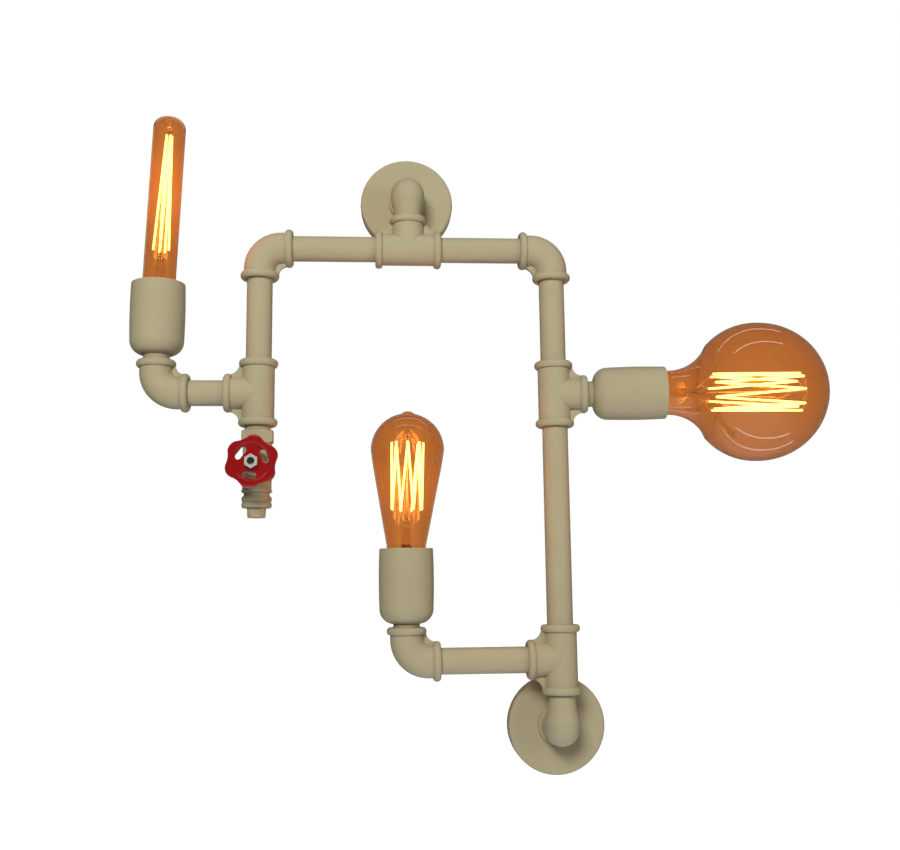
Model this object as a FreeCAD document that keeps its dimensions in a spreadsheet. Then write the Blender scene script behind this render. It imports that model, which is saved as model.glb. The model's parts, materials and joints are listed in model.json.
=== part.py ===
import FreeCAD, Part
import math
import os
import Sketcher

# An industrial wall light made of half-inch pipe and banded malleable fittings.
# Frame: millimetres, +Z up, +X to the right as seen from the room, +Y into the wall.
# The wall is the plane y = 0, and the origin is on it, at the middle of the upper wall plate.

Vector = FreeCAD.Vector
Rotation = FreeCAD.Rotation

ACROSS_X = Vector(1, 0, 0)
ACROSS_Y = Vector(0, 1, 0)
ACROSS_Z = Vector(0, 0, 1)

doc = FreeCAD.newDocument("pipe_wall_light")
sheet = doc.addObject("Spreadsheet::Sheet", "sizes")

# ---------------------------------------------------------------- driving dimensions

SIZES = {
    # painted half-inch pipe and its threads
    "pipe_od": 21.5,
    "pipe_bore": 16.0,
    "pipe_chamfer": 0.8,
    "thread_in": 13.0,
    "fit_gap": 0.1,
    "face_gap": 0.3,
    # cut lengths of the seven pipes
    "top_left_length": 96.0,
    "top_right_length": 93.8,
    "left_leg_length": 95.5,
    "left_arm_length": 54.8,
    "right_upper_length": 96.6,
    "right_lower_length": 190.0,
    "bottom_arm_length": 96.8,
    # banded elbows and tees
    "body_od": 27.0,
    "band_od": 32.5,
    "band_width": 6.0,
    "elbow_reach": 27.5,
    "tee_reach": 28.0,
    "bend_radius": 18.0,
    "web_width": 3.5,
    # street elbows that join the pipework to the wall plates
    "street_od": 28.6,
    "street_bend": 6.5,
    "street_bore": 15.0,
    "street_reach": 36.6,
    "street_flare": 20.0,
    "upper_thread_in": 13.0,
    "lower_thread_in": 8.5,
    "wall_thread_in": 15.0,
    # pressed wall plates, their brackets and screws
    "plate_od": 81.4,
    "plate_depth": 14.0,
    "plate_wall": 1.5,
    "plate_edge": 2.8,
    "bracket_width": 18.0,
    "bracket_wall": 1.5,
    "ear_height": 9.5,
    "wall_screw_spacing": 56.0,
    "wall_screw_hole": 4.5,
    "wire_hole": 14.0,
    "grub_od": 3.0,
    "grub_length": 6.0,
    "grub_inset": 5.0,
    # close nipples and their locknuts
    "nipple_length": 24.0,
    "locknut_flats": 24.5,
    "locknut_height": 4.5,
    "locknut_lift": 0.3,
    # lamp cups
    "cup_od": 45.2,
    "cup_side_od": 44.2,
    "cup_length": 61.0,
    "cup_wall": 1.4,
    "cup_corner": 12.0,
    "cup_belly": 36.0,
    "left_neck": 4.5,
    "centre_neck": 2.8,
    "right_neck": 4.6,
    "right_thread_in": 12.5,
    # E27 lampholders
    "holder_od": 34.0,
    "holder_height": 47.0,
    "holder_floor": 18.0,
    "holder_spigot": 4.0,
    "holder_edge": 1.5,
    "wire_well": 6.4,
    "wire_well_depth": 8.0,
    "shell_wall": 0.5,
    "shell_height": 26.0,
    "contact_height": 3.0,
    "contact_od": 10.0,
    "contact_post": 4.0,
    # E27 bulb caps
    "cap_od": 26.4,
    "cap_height": 27.0,
    "cap_wall": 0.8,
    "base_height": 4.7,
    "base_tip": 9.4,
    # glass
    "glass_wall": 0.9,
    "tube_od": 27.2,
    "tube_length": 153.5,
    "pear_od": 61.0,
    "pear_neck": 32.4,
    "pear_shoulder": 54.0,
    "pear_shoulder_height": 64.7,
    "pear_belly": 86.5,
    "pip_od": 11.0,
    "pip_height": 2.2,
    "globe_od": 116.4,
    "globe_neck": 37.2,
    "globe_belly": 83.0,
    "neck_height": 8.0,
    "stem_od": 8.0,
    "stem_length": 28.0,
    # filaments
    "filament_wire": 0.7,
    "lead_wire": 1.0,
    "tube_filament_low": 35.0,
    "tube_filament_high": 138.0,
    "pear_filament_low": 36.0,
    "pear_filament_high": 93.0,
    "globe_filament_low": 46.0,
    "globe_filament_high": 121.0,
    # gate valve below the left tee
    "valve_neck": 3.5,
    "valve_top": 30.5,
    "valve_bottom": 21.0,
    "valve_ball": 28.0,
    "valve_end_od": 23.9,
    "valve_socket": 9.0,
    "collar_flats": 25.2,
    "collar_height": 11.0,
    "gate_bore": 13.0,
    "gate_width": 13.6,
    "gate_thick": 6.0,
    "gate_travel": 12.8,
    "gate_gap": 0.2,
    "gate_boss": 2.6,
    "spindle_od": 4.0,
    "valve_chest": 16.0,
    "chest_od": 22.0,
    "bonnet_flats": 22.0,
    "bonnet_hex": 5.0,
    "bonnet_height": 12.5,
    "bonnet_od": 18.0,
    "bonnet_bore": 18.0,
    "gland_flats": 13.0,
    "gland_height": 5.5,
    "stem_rod": 6.0,
    "stem_collar": 9.0,
    "stem_collar_height": 2.0,
    "wheel_plane": 41.2,
    "wheel_od": 43.0,
    "wheel_valley": 37.0,
    "wheel_rim": 7.0,
    "wheel_web": 3.0,
    "wheel_dish": 30.0,
    "wheel_hub": 13.0,
    "wheel_hub_back": 4.6,
    "wheel_slot_radius": 10.8,
    "wheel_slot_length": 11.5,
    "wheel_slot_width": 5.2,
    "wheel_turn": 22.0,
    "wheel_nut_flats": 10.0,
    "wheel_nut_height": 4.0,
    "plug_waist": 21.2,
    "plug_bead": 24.8,
    "plug_head": 14.5,
    "plug_waist_height": 3.2,
    "plug_bead_height": 9.5,
    "plug_head_height": 8.0,
    # internal wiring
    "lead_od": 2.6,
    "lead_pitch": 3.2,
    "lead_side": 1.7,
    "lead_bend": 14.0,
    "riser_bend": 10.0,
    "plate_bend": 5.0,
    "lead_room": 0.6,
    "block_width": 17.0,
    "block_height": 13.0,
    "block_depth": 9.0,
    "block_lift": 23.5,
    "block_slot": 4.0,
}

for row, (alias, number) in enumerate(SIZES.items(), start=1):
    sheet.set("A%d" % row, alias)
    sheet.set("B%d" % row, str(number))
    sheet.setAlias("B%d" % row, alias)
doc.recompute()


class Size:
    """A number together with the spreadsheet formula that it comes from."""

    def __init__(self, number, text):
        self.number = number
        self.text = text

    def __add__(self, other):
        return joined(self, "+", other, self.number + as_size(other).number)

    def __radd__(self, other):
        return as_size(other) + self

    def __sub__(self, other):
        return joined(self, "-", other, self.number - as_size(other).number)

    def __rsub__(self, other):
        return as_size(other) - self

    def __mul__(self, other):
        return joined(self, "*", other, self.number * as_size(other).number)

    def __rmul__(self, other):
        return as_size(other) * self

    def __truediv__(self, other):
        return joined(self, "/", other, self.number / as_size(other).number)

    def __neg__(self):
        return as_size(0) - self

    def tied(self):
        return "sizes." in self.text


def as_size(value):
    if isinstance(value, Size):
        return value
    return Size(float(value), "(%s)" % repr(float(value)))


def joined(first, sign, second, number):
    second = as_size(second)
    text = "(%s %s %s)" % (first.text, sign, second.text)
    if "sizes." not in text:
        text = "(%s)" % repr(number)
    return Size(number, text)


def root(value):
    return Size(math.sqrt(value.number), "sqrt(%s)" % value.text)


def sized(alias):
    """One cell of the sheet, as a Size."""
    return Size(float(sheet.get(alias)), "sizes." + alias)


def half(alias):
    return sized(alias) / 2


# ---------------------------------------------------------------- drawing helpers

subparts = []


class Via:
    """A point that an arc passes through on its way to the next corner."""

    def __init__(self, across, along):
        self.place = (as_size(across), as_size(along))


def new_body(label, listed=True):
    body = doc.addObject("PartDesign::Body", label)
    body.Label = label
    if listed:
        subparts.append(body)
    return body


def origin_plane(body, role):
    return [item for item in body.Origin.OriginFeatures if item.Role == role][0]


def new_sketch(body, role, lift=None):
    """A sketch on one of the body's own origin planes, moved by (across, along, out)."""
    sketch = body.newObject("Sketcher::SketchObject", body.Label + "_sketch")
    sketch.AttachmentSupport = [(origin_plane(body, role), "")]
    sketch.MapMode = "FlatFace"
    if lift:
        shift = [as_size(item) for item in lift]
        base = Vector(shift[0].number, shift[1].number, shift[2].number)
        sketch.AttachmentOffset = FreeCAD.Placement(base, Rotation())
        for axis, item in zip("xyz", shift):
            if item.tied():
                sketch.setExpression("AttachmentOffset.Base." + axis, item.text)
    return sketch


def tie(sketch, name, index, value):
    """Name a dimension of the sketch and bind it to its formula."""
    sketch.renameConstraint(index, name)
    if value.tied():
        sketch.setExpression("Constraints." + name, value.text)


def pin_point(sketch, item, corner, place, name):
    """Hold one corner at its two distances from the sketch's origin."""
    for letter, kind, value in zip("xy", ("DistanceX", "DistanceY"), place):
        held = Sketcher.Constraint(kind, -1, 1, item, corner, value.number)
        tie(sketch, letter + name, sketch.addConstraint(held), value)


def flat(place):
    return Vector(place[0].number, place[1].number, 0)


def add_loop(sketch, path, mark=""):
    """Draw one closed outline of lines and arcs with every corner held."""
    points = [item if isinstance(item, Via) else (as_size(item[0]), as_size(item[1])) for item in path]
    corners = [item for item in points if not isinstance(item, Via)]
    spans = []
    for index, item in enumerate(points):
        if isinstance(item, Via):
            spans[-1] = item
        else:
            spans.append(None)
    ends = []
    for index, via in enumerate(spans):
        start = flat(corners[index])
        stop = flat(corners[(index + 1) % len(corners)])
        if via is None:
            item = sketch.addGeometry(Part.LineSegment(start, stop), False)
        else:
            item = sketch.addGeometry(Part.Arc(start, flat(via.place), stop), False)
        backwards = (sketch.getPoint(item, 1) - start).Length > (sketch.getPoint(item, 2) - start).Length
        ends.append((item, 2, 1) if backwards else (item, 1, 2))
    for index, (item, first, last) in enumerate(ends):
        following = ends[(index + 1) % len(ends)]
        sketch.addConstraint(Sketcher.Constraint("Coincident", item, last, following[0], following[1]))
    for index, (item, first, last) in enumerate(ends):
        pin_point(sketch, item, first, corners[index], "%s%d" % (mark, index))
        if spans[index] is not None:
            via = spans[index].place
            helper = sketch.addGeometry(Part.Point(flat(via)), True)
            pin_point(sketch, helper, 1, via, "%svia%d" % (mark, index))
            sketch.addConstraint(Sketcher.Constraint("PointOnObject", helper, 1, item))


def draw(body, role, path, lift=None):
    sketch = new_sketch(body, role, lift)
    add_loop(sketch, path)
    return sketch


def draw_circles(body, role, circles, lift=None):
    """Circles given as ((across, along), radius)."""
    sketch = new_sketch(body, role, lift)
    for index, (place, radius) in enumerate(circles):
        place = (as_size(place[0]), as_size(place[1]))
        radius = as_size(radius)
        item = sketch.addGeometry(Part.Circle(flat(place), ACROSS_Z, radius.number), False)
        pin_point(sketch, item, 3, place, "c%d" % index)
        held = Sketcher.Constraint("Radius", item, radius.number)
        tie(sketch, "r%d" % index, sketch.addConstraint(held), radius)
    return sketch


def turn(body, sketch, axis, cut=False, angle=360, backwards=False):
    """Revolve a profile about the sketch's H_Axis or V_Axis, as metal or as a cut."""
    kind = "PartDesign::Groove" if cut else "PartDesign::Revolution"
    feature = body.newObject(kind, body.Label + ("_groove" if cut else "_turn"))
    feature.Profile = sketch
    feature.ReferenceAxis = (sketch, [axis])
    feature.Angle = angle
    feature.Reversed = backwards
    return feature


def push(body, sketch, length, cut=False, both=False, backwards=False):
    """Pad or pocket a profile along the sketch's normal."""
    kind = "PartDesign::Pocket" if cut else "PartDesign::Pad"
    feature = body.newObject(kind, body.Label + ("_pocket" if cut else "_pad"))
    feature.Profile = sketch
    length = as_size(length)
    feature.Length = length.number
    if length.tied():
        feature.setExpression("Length", length.text)
    feature.Midplane = both
    feature.Reversed = backwards
    return feature


def place(item, base, rotation=None):
    """Put a sub-part at its tied place, turned by a fixed rotation."""
    base = [as_size(value) for value in base]
    corner = Vector(base[0].number, base[1].number, base[2].number)
    item.Placement = FreeCAD.Placement(corner, rotation or Rotation())
    for axis, value in zip("xyz", base):
        if value.tied():
            item.setExpression("Placement.Base." + axis, value.text)


def ring(inner, outer, low, high, chamfer):
    """Section of a plain tube along Z with chamfered outer ends."""
    return [
        (inner, low),
        (outer - chamfer, low),
        (outer, low + chamfer),
        (outer, high - chamfer),
        (outer - chamfer, high),
        (inner, high),
    ]


HEX_CORNER = 2 / math.sqrt(3)
HEX_SLOPE = math.tan(math.radians(30))


def hex_path(flats):
    """A hexagon whose flats face left and right."""
    corner = flats / 2 * HEX_CORNER
    rise = corner / 2
    side = flats / 2
    return [(side, rise), (0, corner), (-side, rise), (-side, -rise), (0, -corner), (side, -rise)]


def add_hex(body, flats, low, high, plane="XY_Plane", top=True, bottom=True):
    """A hexagonal collar along the plane's normal, with its corners turned off at 30 degrees."""
    normal_lift = (0, 0, low)
    push(body, draw(body, plane, hex_path(flats), normal_lift), high - low)
    inner = flats / 2
    outer = flats / 2 * HEX_CORNER + 1
    drop = (outer - inner) * HEX_SLOPE
    side, axis, sign = ("XZ_Plane", "V_Axis", 1) if plane == "XY_Plane" else ("XY_Plane", "V_Axis", -1)
    if top:
        path = [(inner, sign * high), (outer, sign * high), (outer, sign * (high - drop))]
        turn(body, draw(body, side, path), axis, cut=True)
    if bottom:
        path = [(inner, sign * low), (outer, sign * low), (outer, sign * (low + drop))]
        turn(body, draw(body, side, path), axis, cut=True)


# ---------------------------------------------------------------- shared places

pipe_r = half("pipe_od")
bore_r = half("pipe_bore")
socket_r = pipe_r + sized("fit_gap")
thread_in = sized("thread_in")
elbow_reach = sized("elbow_reach")
tee_reach = sized("tee_reach")

pipe_y = -(sized("plate_depth") + elbow_reach)

tee_to_elbow = tee_reach + elbow_reach - 2 * thread_in
tee_to_tee = 2 * tee_reach - 2 * thread_in

top_z = -(sized("street_reach") - sized("upper_thread_in") + tee_reach)
left_x = -(tee_to_elbow + sized("top_left_length"))
right_x = tee_to_elbow + sized("top_right_length")
left_tee_z = top_z - (tee_to_elbow + sized("left_leg_length"))
lamp_elbow_x = left_x - (tee_to_elbow + sized("left_arm_length"))
right_tee_z = top_z - (tee_to_elbow + sized("right_upper_length"))
bottom_z = right_tee_z - (tee_to_tee + sized("right_lower_length"))
centre_elbow_x = right_x - (tee_to_elbow + sized("bottom_arm_length"))
lower_z = bottom_z - (tee_reach + sized("street_reach") - sized("lower_thread_in"))

# ---------------------------------------------------------------- pipes

# The side lamp's tee is screwed on a little forward, so that the globe clears the wall.
FORWARD_DEGREES = 6.2
FORWARD = Rotation(ACROSS_Z, -FORWARD_DEGREES)
FORWARD_COS = math.cos(math.radians(FORWARD_DEGREES))
FORWARD_SIN = math.sin(math.radians(FORWARD_DEGREES))

ALONG_X = Rotation(ACROSS_Y, 90)
SIDE_LAMP = FORWARD.multiply(ALONG_X)
DOWN = Rotation(ACROSS_X, 180)
UP = Rotation()


def make_pipe(label, length, start, rotation):
    """A straight cut of pipe from its start face along its own +Z."""
    body = new_body(label)
    path = ring(bore_r, pipe_r, 0, length, sized("pipe_chamfer"))
    turn(body, draw(body, "XZ_Plane", path), "V_Axis")
    place(body, start, rotation)


elbow_seat = elbow_reach - thread_in
tee_seat = tee_reach - thread_in

make_pipe("top_left_pipe", sized("top_left_length"), (left_x + elbow_seat, pipe_y, top_z), ALONG_X)
make_pipe("top_right_pipe", sized("top_right_length"), (tee_seat, pipe_y, top_z), ALONG_X)
make_pipe("left_leg_pipe", sized("left_leg_length"), (left_x, pipe_y, top_z - elbow_seat), DOWN)
make_pipe("left_arm_pipe", sized("left_arm_length"), (lamp_elbow_x + elbow_seat, pipe_y, left_tee_z), ALONG_X)
make_pipe("right_upper_pipe", sized("right_upper_length"), (right_x, pipe_y, top_z - elbow_seat), DOWN)
make_pipe("right_lower_pipe", sized("right_lower_length"), (right_x, pipe_y, right_tee_z - tee_seat), DOWN)
make_pipe("bottom_arm_pipe", sized("bottom_arm_length"), (centre_elbow_x + elbow_seat, pipe_y, bottom_z), ALONG_X)

# ---------------------------------------------------------------- banded fittings

body_r = half("body_od")
band_r = half("band_od")
band_width = sized("band_width")
bend = sized("bend_radius")
street_bend = sized("street_bend")
BEAD_FOOT = 0.45
BEAD_END = 0.35
MOUTH = 0.8

# (distance from the centre, radius) to the sketch's two directions, for each way a leg can point
DIRECTIONS = {
    "+x": (lambda far, out: (far, out), "H_Axis"),
    "-x": (lambda far, out: (-far, out), "H_Axis"),
    "+z": (lambda far, out: (out, far), "V_Axis"),
    "-z": (lambda far, out: (out, -far), "V_Axis"),
}


def banded_leg(body, way, start, reach, leg_r):
    """A round leg that ends in a rounded reinforcing band."""
    to, axis = DIRECTIONS[way]
    rise = band_r - leg_r
    path = [
        to(start, as_size(0)),
        to(start, leg_r),
        to(reach - band_width, leg_r),
        to(reach - band_width, leg_r + rise * BEAD_FOOT),
        Via(*to(reach - band_width / 2, band_r)),
        to(reach, leg_r + rise * BEAD_END),
        to(reach, as_size(0)),
    ]
    turn(body, draw(body, "XZ_Plane", path), axis)


def leg_socket(body, way, reach, depth, start=None, water_r=None):
    """The threaded mouth of a leg, bottoming on a shoulder, and the waterway that starts behind it."""
    to, axis = DIRECTIONS[way]
    path = [
        to(reach - depth, socket_r),
        to(reach - MOUTH, socket_r),
        to(reach, socket_r + MOUTH),
        to(reach, as_size(0)),
    ]
    if start is None:
        path.append(to(reach - depth, as_size(0)))
    else:
        path += [to(start, as_size(0)), to(start, water_r), to(reach - depth, water_r)]
    turn(body, draw(body, "XZ_Plane", path), axis, cut=True)


def bend_slice(body, outer_r, radius, cut=False):
    """The quarter turn between a +x leg and a -z leg, about an axis set off from the centre."""
    lift = (0, -radius, radius)
    if outer_r.number < radius.number:
        sketch = draw_circles(body, "YZ_Plane", [((0, radius), outer_r)], lift=lift)
    else:
        chord = root(outer_r * outer_r - radius * radius)
        sketch = draw(body, "YZ_Plane", [(-chord, 0), (chord, 0), Via(0, radius + outer_r)], lift=lift)
    turn(body, sketch, "H_Axis", cut=cut, angle=90, backwards=True)


def corner_web(body, side, reach_a, reach_b, foot_r):
    """A thin gusset in the corner between the leg along side*x and the leg along -z or +z."""
    across, up = side
    tip_a = reach_a - band_width / 2
    tip_b = reach_b - band_width / 2
    high = band_r - 0.5
    path = [
        (across * (foot_r - 3), up * (foot_r - 3)),
        (across * (reach_a - 1.5), up * (foot_r - 1)),
        (across * tip_a, up * high),
        Via(across * (tip_a * 0.42 + high * 0.5), up * (tip_b * 0.42 + high * 0.5)),
        (across * high, up * tip_b),
        (across * (foot_r - 1), up * (reach_b - 1.5)),
    ]
    push(body, draw(body, "XZ_Plane", path), sized("web_width"), both=True)


def make_elbow(label, centre, rotation):
    """A banded elbow with legs along +x and -z before it is turned into place."""
    body = new_body(label)
    for way in ("+x", "-z"):
        banded_leg(body, way, bend, elbow_reach, body_r)
    bend_slice(body, body_r, bend)
    corner_web(body, (1, -1), elbow_reach, elbow_reach, body_r)
    for way in ("+x", "-z"):
        leg_socket(body, way, elbow_reach, thread_in)
    bend_slice(body, bore_r, bend, cut=True)
    place(body, centre, rotation)


def make_tee(label, centre, rotation):
    """A banded tee with its run along x and its branch along +z before it is turned."""
    body = new_body(label)
    for way in ("+x", "-x", "+z"):
        banded_leg(body, way, as_size(0), tee_reach, body_r)
    for side in ((1, 1), (-1, 1)):
        corner_web(body, side, tee_reach, tee_reach, body_r)
    for way in ("+x", "-x", "+z"):
        leg_socket(body, way, tee_reach, thread_in, as_size(0), bore_r)
    place(body, centre, rotation)


make_elbow("top_left_elbow", (left_x, pipe_y, top_z), Rotation())
make_elbow("top_right_elbow", (right_x, pipe_y, top_z), Rotation(ACROSS_Z, 180))
make_elbow("left_lamp_elbow", (lamp_elbow_x, pipe_y, left_tee_z), Rotation(ACROSS_X, 180))
make_elbow("centre_lamp_elbow", (centre_elbow_x, pipe_y, bottom_z), Rotation(ACROSS_X, 180))

BRANCH_LEFT = Rotation(ACROSS_Y, -90)
BRANCH_RIGHT = Rotation(ACROSS_Y, 90)
make_tee("top_tee", (0, pipe_y, top_z), Rotation())
make_tee("left_tee", (left_x, pipe_y, left_tee_z), BRANCH_LEFT)
make_tee("right_tee", (right_x, pipe_y, right_tee_z), FORWARD.multiply(BRANCH_RIGHT))
make_tee("bottom_tee", (right_x, pipe_y, bottom_z), BRANCH_LEFT)

# ---------------------------------------------------------------- street elbows


def make_street_elbow(label, centre, rotation):
    """Female band along +x, male thread along -z, with a ball-shaped heel between them."""
    body = new_body(label)
    street_r = half("street_od")
    water_r = half("street_bore")
    far = sized("street_reach")
    flare = sized("street_flare")
    chamfer = sized("pipe_chamfer")
    banded_leg(body, "+x", street_bend, elbow_reach, street_r)
    to, axis = DIRECTIONS["-z"]
    male = [
        to(street_bend, as_size(0)),
        to(street_bend, street_r),
        Via(*to(street_bend + flare * 0.55, pipe_r + (street_r - pipe_r) * 0.3)),
        to(street_bend + flare, pipe_r),
        to(far - chamfer, pipe_r),
        to(far, pipe_r - chamfer),
        to(far, as_size(0)),
    ]
    turn(body, draw(body, "XZ_Plane", male), axis)
    bend_slice(body, street_r, street_bend)
    leg_socket(body, "+x", elbow_reach, sized("wall_thread_in"), street_bend, water_r)
    bore = [to(street_bend, as_size(0)), to(street_bend, water_r), to(far, water_r), to(far, as_size(0))]
    turn(body, draw(body, "XZ_Plane", bore), axis, cut=True)
    bend_slice(body, water_r, street_bend, cut=True)
    place(body, centre, rotation)


TO_WALL = Rotation(ACROSS_Z, 90)
TO_WALL_UPSIDE_DOWN = Rotation(ACROSS_Y, 180).multiply(TO_WALL)
make_street_elbow("upper_street_elbow", (0, pipe_y, 0), TO_WALL)
make_street_elbow("lower_street_elbow", (right_x, pipe_y, lower_z), TO_WALL_UPSIDE_DOWN)

# ---------------------------------------------------------------- wall plates and brackets

plate_r = half("plate_od")
plate_depth = sized("plate_depth")
plate_wall = sized("plate_wall")
hole_r = pipe_r + sized("fit_gap")
grub_r = half("grub_od")
QUARTER = math.cos(math.radians(45))


def make_plate(label, centre):
    """A shallow pressed cup, open to the wall, with a hole for the nipple and two side holes."""
    body = new_body(label)
    edge = sized("plate_edge")
    inner_edge = edge - plate_wall
    outer_bend = edge * (1 - QUARTER)
    inner_bend = plate_wall + inner_edge * (1 - QUARTER)
    path = [
        (hole_r, -plate_depth),
        (plate_r - edge, -plate_depth),
        Via(plate_r - outer_bend, outer_bend - plate_depth),
        (plate_r, edge - plate_depth),
        (plate_r, 0),
        (plate_r - plate_wall, 0),
        (plate_r - plate_wall, edge - plate_depth),
        Via(plate_r - inner_bend, inner_bend - plate_depth),
        (plate_r - edge, plate_wall - plate_depth),
        (hole_r, plate_wall - plate_depth),
    ]
    turn(body, draw(body, "XY_Plane", path), "V_Axis")
    side_hole = draw_circles(body, "YZ_Plane", [((-sized("grub_inset"), 0), grub_r + sized("fit_gap"))])
    push(body, side_hole, 2 * plate_r, cut=True, both=True)
    place(body, centre)


ear_out = plate_r - plate_wall - 1.5


def make_bracket(label, centre):
    """A steel strap screwed flat to the wall, its two ears bent forward to take the grub screws."""
    body = new_body(label)
    wall = sized("bracket_wall")
    height = sized("ear_height")
    width = sized("bracket_width")
    path = [
        (-ear_out, 0),
        (-ear_out, -height),
        (wall - ear_out, -height),
        (wall - ear_out, -wall),
        (ear_out - wall, -wall),
        (ear_out - wall, -height),
        (ear_out, -height),
        (ear_out, 0),
    ]
    push(body, draw(body, "XY_Plane", path), width, both=True)
    spread = sized("wall_screw_spacing") / 2
    screw_r = half("wall_screw_hole")
    holes = [((spread, 0), screw_r), ((-spread, 0), screw_r), ((0, 0), half("wire_hole"))]
    push(body, draw_circles(body, "XZ_Plane", holes), 2 * plate_depth, cut=True, both=True)
    tapped = draw_circles(body, "YZ_Plane", [((-sized("grub_inset"), 0), grub_r + 0.05)])
    push(body, tapped, 2 * plate_r, cut=True, both=True)
    place(body, centre)


lower_plate = (right_x, 0, lower_z)
make_plate("upper_wall_plate", (0, 0, 0))
make_plate("lower_wall_plate", lower_plate)
make_bracket("upper_wall_bracket", (0, 0, 0))
make_bracket("lower_wall_bracket", lower_plate)


def group(label, members):
    """Separate solids of one repeated fastener, kept together as one sub-part."""
    compound = doc.addObject("Part::Compound", label)
    compound.Label = label
    compound.Links = members
    subparts.append(compound)


def make_grub_screw(centre, side):
    """A headless screw along its own +Z with a hexagonal socket in its outer end."""
    body = new_body("grub_screw", listed=False)
    length = sized("grub_length")
    turn(body, draw(body, "XZ_Plane", ring(as_size(0), grub_r, 0, length, 0.3)), "V_Axis")
    socket = draw(body, "XY_Plane", hex_path(grub_r), lift=(0, 0, length))
    push(body, socket, length / 3, cut=True)
    tip = plate_r + 0.4 - length
    place(body, (centre[0] + side * tip, -sized("grub_inset"), centre[2]), Rotation(ACROSS_Y, 90 * side))
    return body


group("plate_grub_screws", [make_grub_screw(centre, side) for centre in ((0, 0, 0), lower_plate) for side in (1, -1)])

# ---------------------------------------------------------------- lamp positions


class Lamp:
    """Where one lamp sits: its fitting, the way it points and the heights along its own axis."""

    def __init__(self, name, centre, reach, thread, neck, rotation):
        self.name = name
        self.centre = centre
        self.rotation = rotation
        self.nipple_foot = reach - thread
        self.cup_foot = reach + neck
        self.nipple_end = self.nipple_foot + sized("nipple_length")
        self.bulb_foot = self.nipple_end + sized("holder_floor") + sized("contact_height")
        self.glass_foot = self.bulb_foot + sized("cap_height")

    def at(self, height):
        """The point on the lamp's axis at this distance from its fitting's centre."""
        x, y, z = self.centre
        if self.rotation is SIDE_LAMP:
            return (x + height * FORWARD_COS, y - height * FORWARD_SIN, z)
        return (x, y, z + height)


left_lamp = Lamp("left", (lamp_elbow_x, pipe_y, left_tee_z), elbow_reach, thread_in, sized("left_neck"), UP)
centre_lamp = Lamp("centre", (centre_elbow_x, pipe_y, bottom_z), elbow_reach, thread_in, sized("centre_neck"), UP)
right_centre = (right_x, pipe_y, right_tee_z)
right_lamp = Lamp("right", right_centre, tee_reach, sized("right_thread_in"), sized("right_neck"), SIDE_LAMP)
LAMPS = (left_lamp, centre_lamp, right_lamp)

# ---------------------------------------------------------------- close nipples and locknuts


def make_nipple(start, rotation):
    body = new_body("close_nipple", listed=False)
    path = ring(bore_r, pipe_r, 0, sized("nipple_length"), sized("pipe_chamfer"))
    turn(body, draw(body, "XZ_Plane", path), "V_Axis")
    place(body, start, rotation)
    return body


def make_locknut(start, rotation):
    """A thin hexagonal nut, chamfered on both faces."""
    body = new_body("locknut", listed=False)
    flats = sized("locknut_flats")
    height = sized("locknut_height")
    add_hex(body, flats, as_size(0), height)
    push(body, draw_circles(body, "XY_Plane", [((0, 0), socket_r)]), 3 * height, cut=True, both=True)
    place(body, start, rotation)
    return body


INTO_WALL = Rotation(ACROSS_X, -90)
wall_nipple_y = -(plate_depth + sized("wall_thread_in"))
valve_top_z = left_tee_z - (tee_reach + sized("valve_neck"))

nipples = [make_nipple((x, wall_nipple_y, z), INTO_WALL) for x, z in ((0, 0), (right_x, lower_z))]
nipples += [make_nipple(lamp.at(lamp.nipple_foot), lamp.rotation) for lamp in LAMPS]
nipples.append(make_nipple((left_x, pipe_y, left_tee_z - tee_seat), DOWN))
group("close_nipples", nipples)

locknuts = [make_locknut((x, plate_wall - plate_depth, z), INTO_WALL) for x, z in ((0, 0), (right_x, lower_z))]
nut_seat = sized("cup_wall") + sized("locknut_lift")
locknuts += [make_locknut(lamp.at(lamp.cup_foot + nut_seat), lamp.rotation) for lamp in LAMPS]
group("locknuts", locknuts)

# ---------------------------------------------------------------- lamp cups

cup_wall = sized("cup_wall")


def make_cup(lamp):
    """A spun cup with a rounded foot, a faint barrel and a rolled-in rim, its foot at z = 0."""
    body = new_body(lamp.name + "_lamp_cup")
    side = half("cup_side_od")
    belly_r = half("cup_od")
    belly = sized("cup_belly")
    length = sized("cup_length")
    corner = sized("cup_corner")
    inner_corner = corner - cup_wall
    outer_bend = corner * (1 - QUARTER)
    inner_bend = cup_wall + inner_corner * (1 - QUARTER)
    foot_in = corner - root(inner_corner * inner_corner - (hole_r - side + corner) * (hole_r - side + corner))
    foot_out = corner - root(corner * corner - (hole_r - side + corner) * (hole_r - side + corner))
    lip = cup_wall / 2
    path = [
        (hole_r, foot_out),
        Via(side - outer_bend, outer_bend),
        (side, corner),
        Via(belly_r, belly),
        (side, length - lip),
        Via(side - lip, length),
        (side - cup_wall, length - lip),
        Via(belly_r - cup_wall, belly),
        (side - cup_wall, corner),
        Via(side - inner_bend, inner_bend),
        (hole_r, foot_in),
    ]
    turn(body, draw(body, "XZ_Plane", path), "V_Axis")
    place(body, lamp.at(lamp.cup_foot), lamp.rotation)


for lamp in LAMPS:
    make_cup(lamp)

# ---------------------------------------------------------------- lampholders

holder_floor = sized("holder_floor")
shell_in = half("cap_od") + 0.2
shell_out = shell_in + sized("shell_wall")
post_r = half("contact_post")


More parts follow.
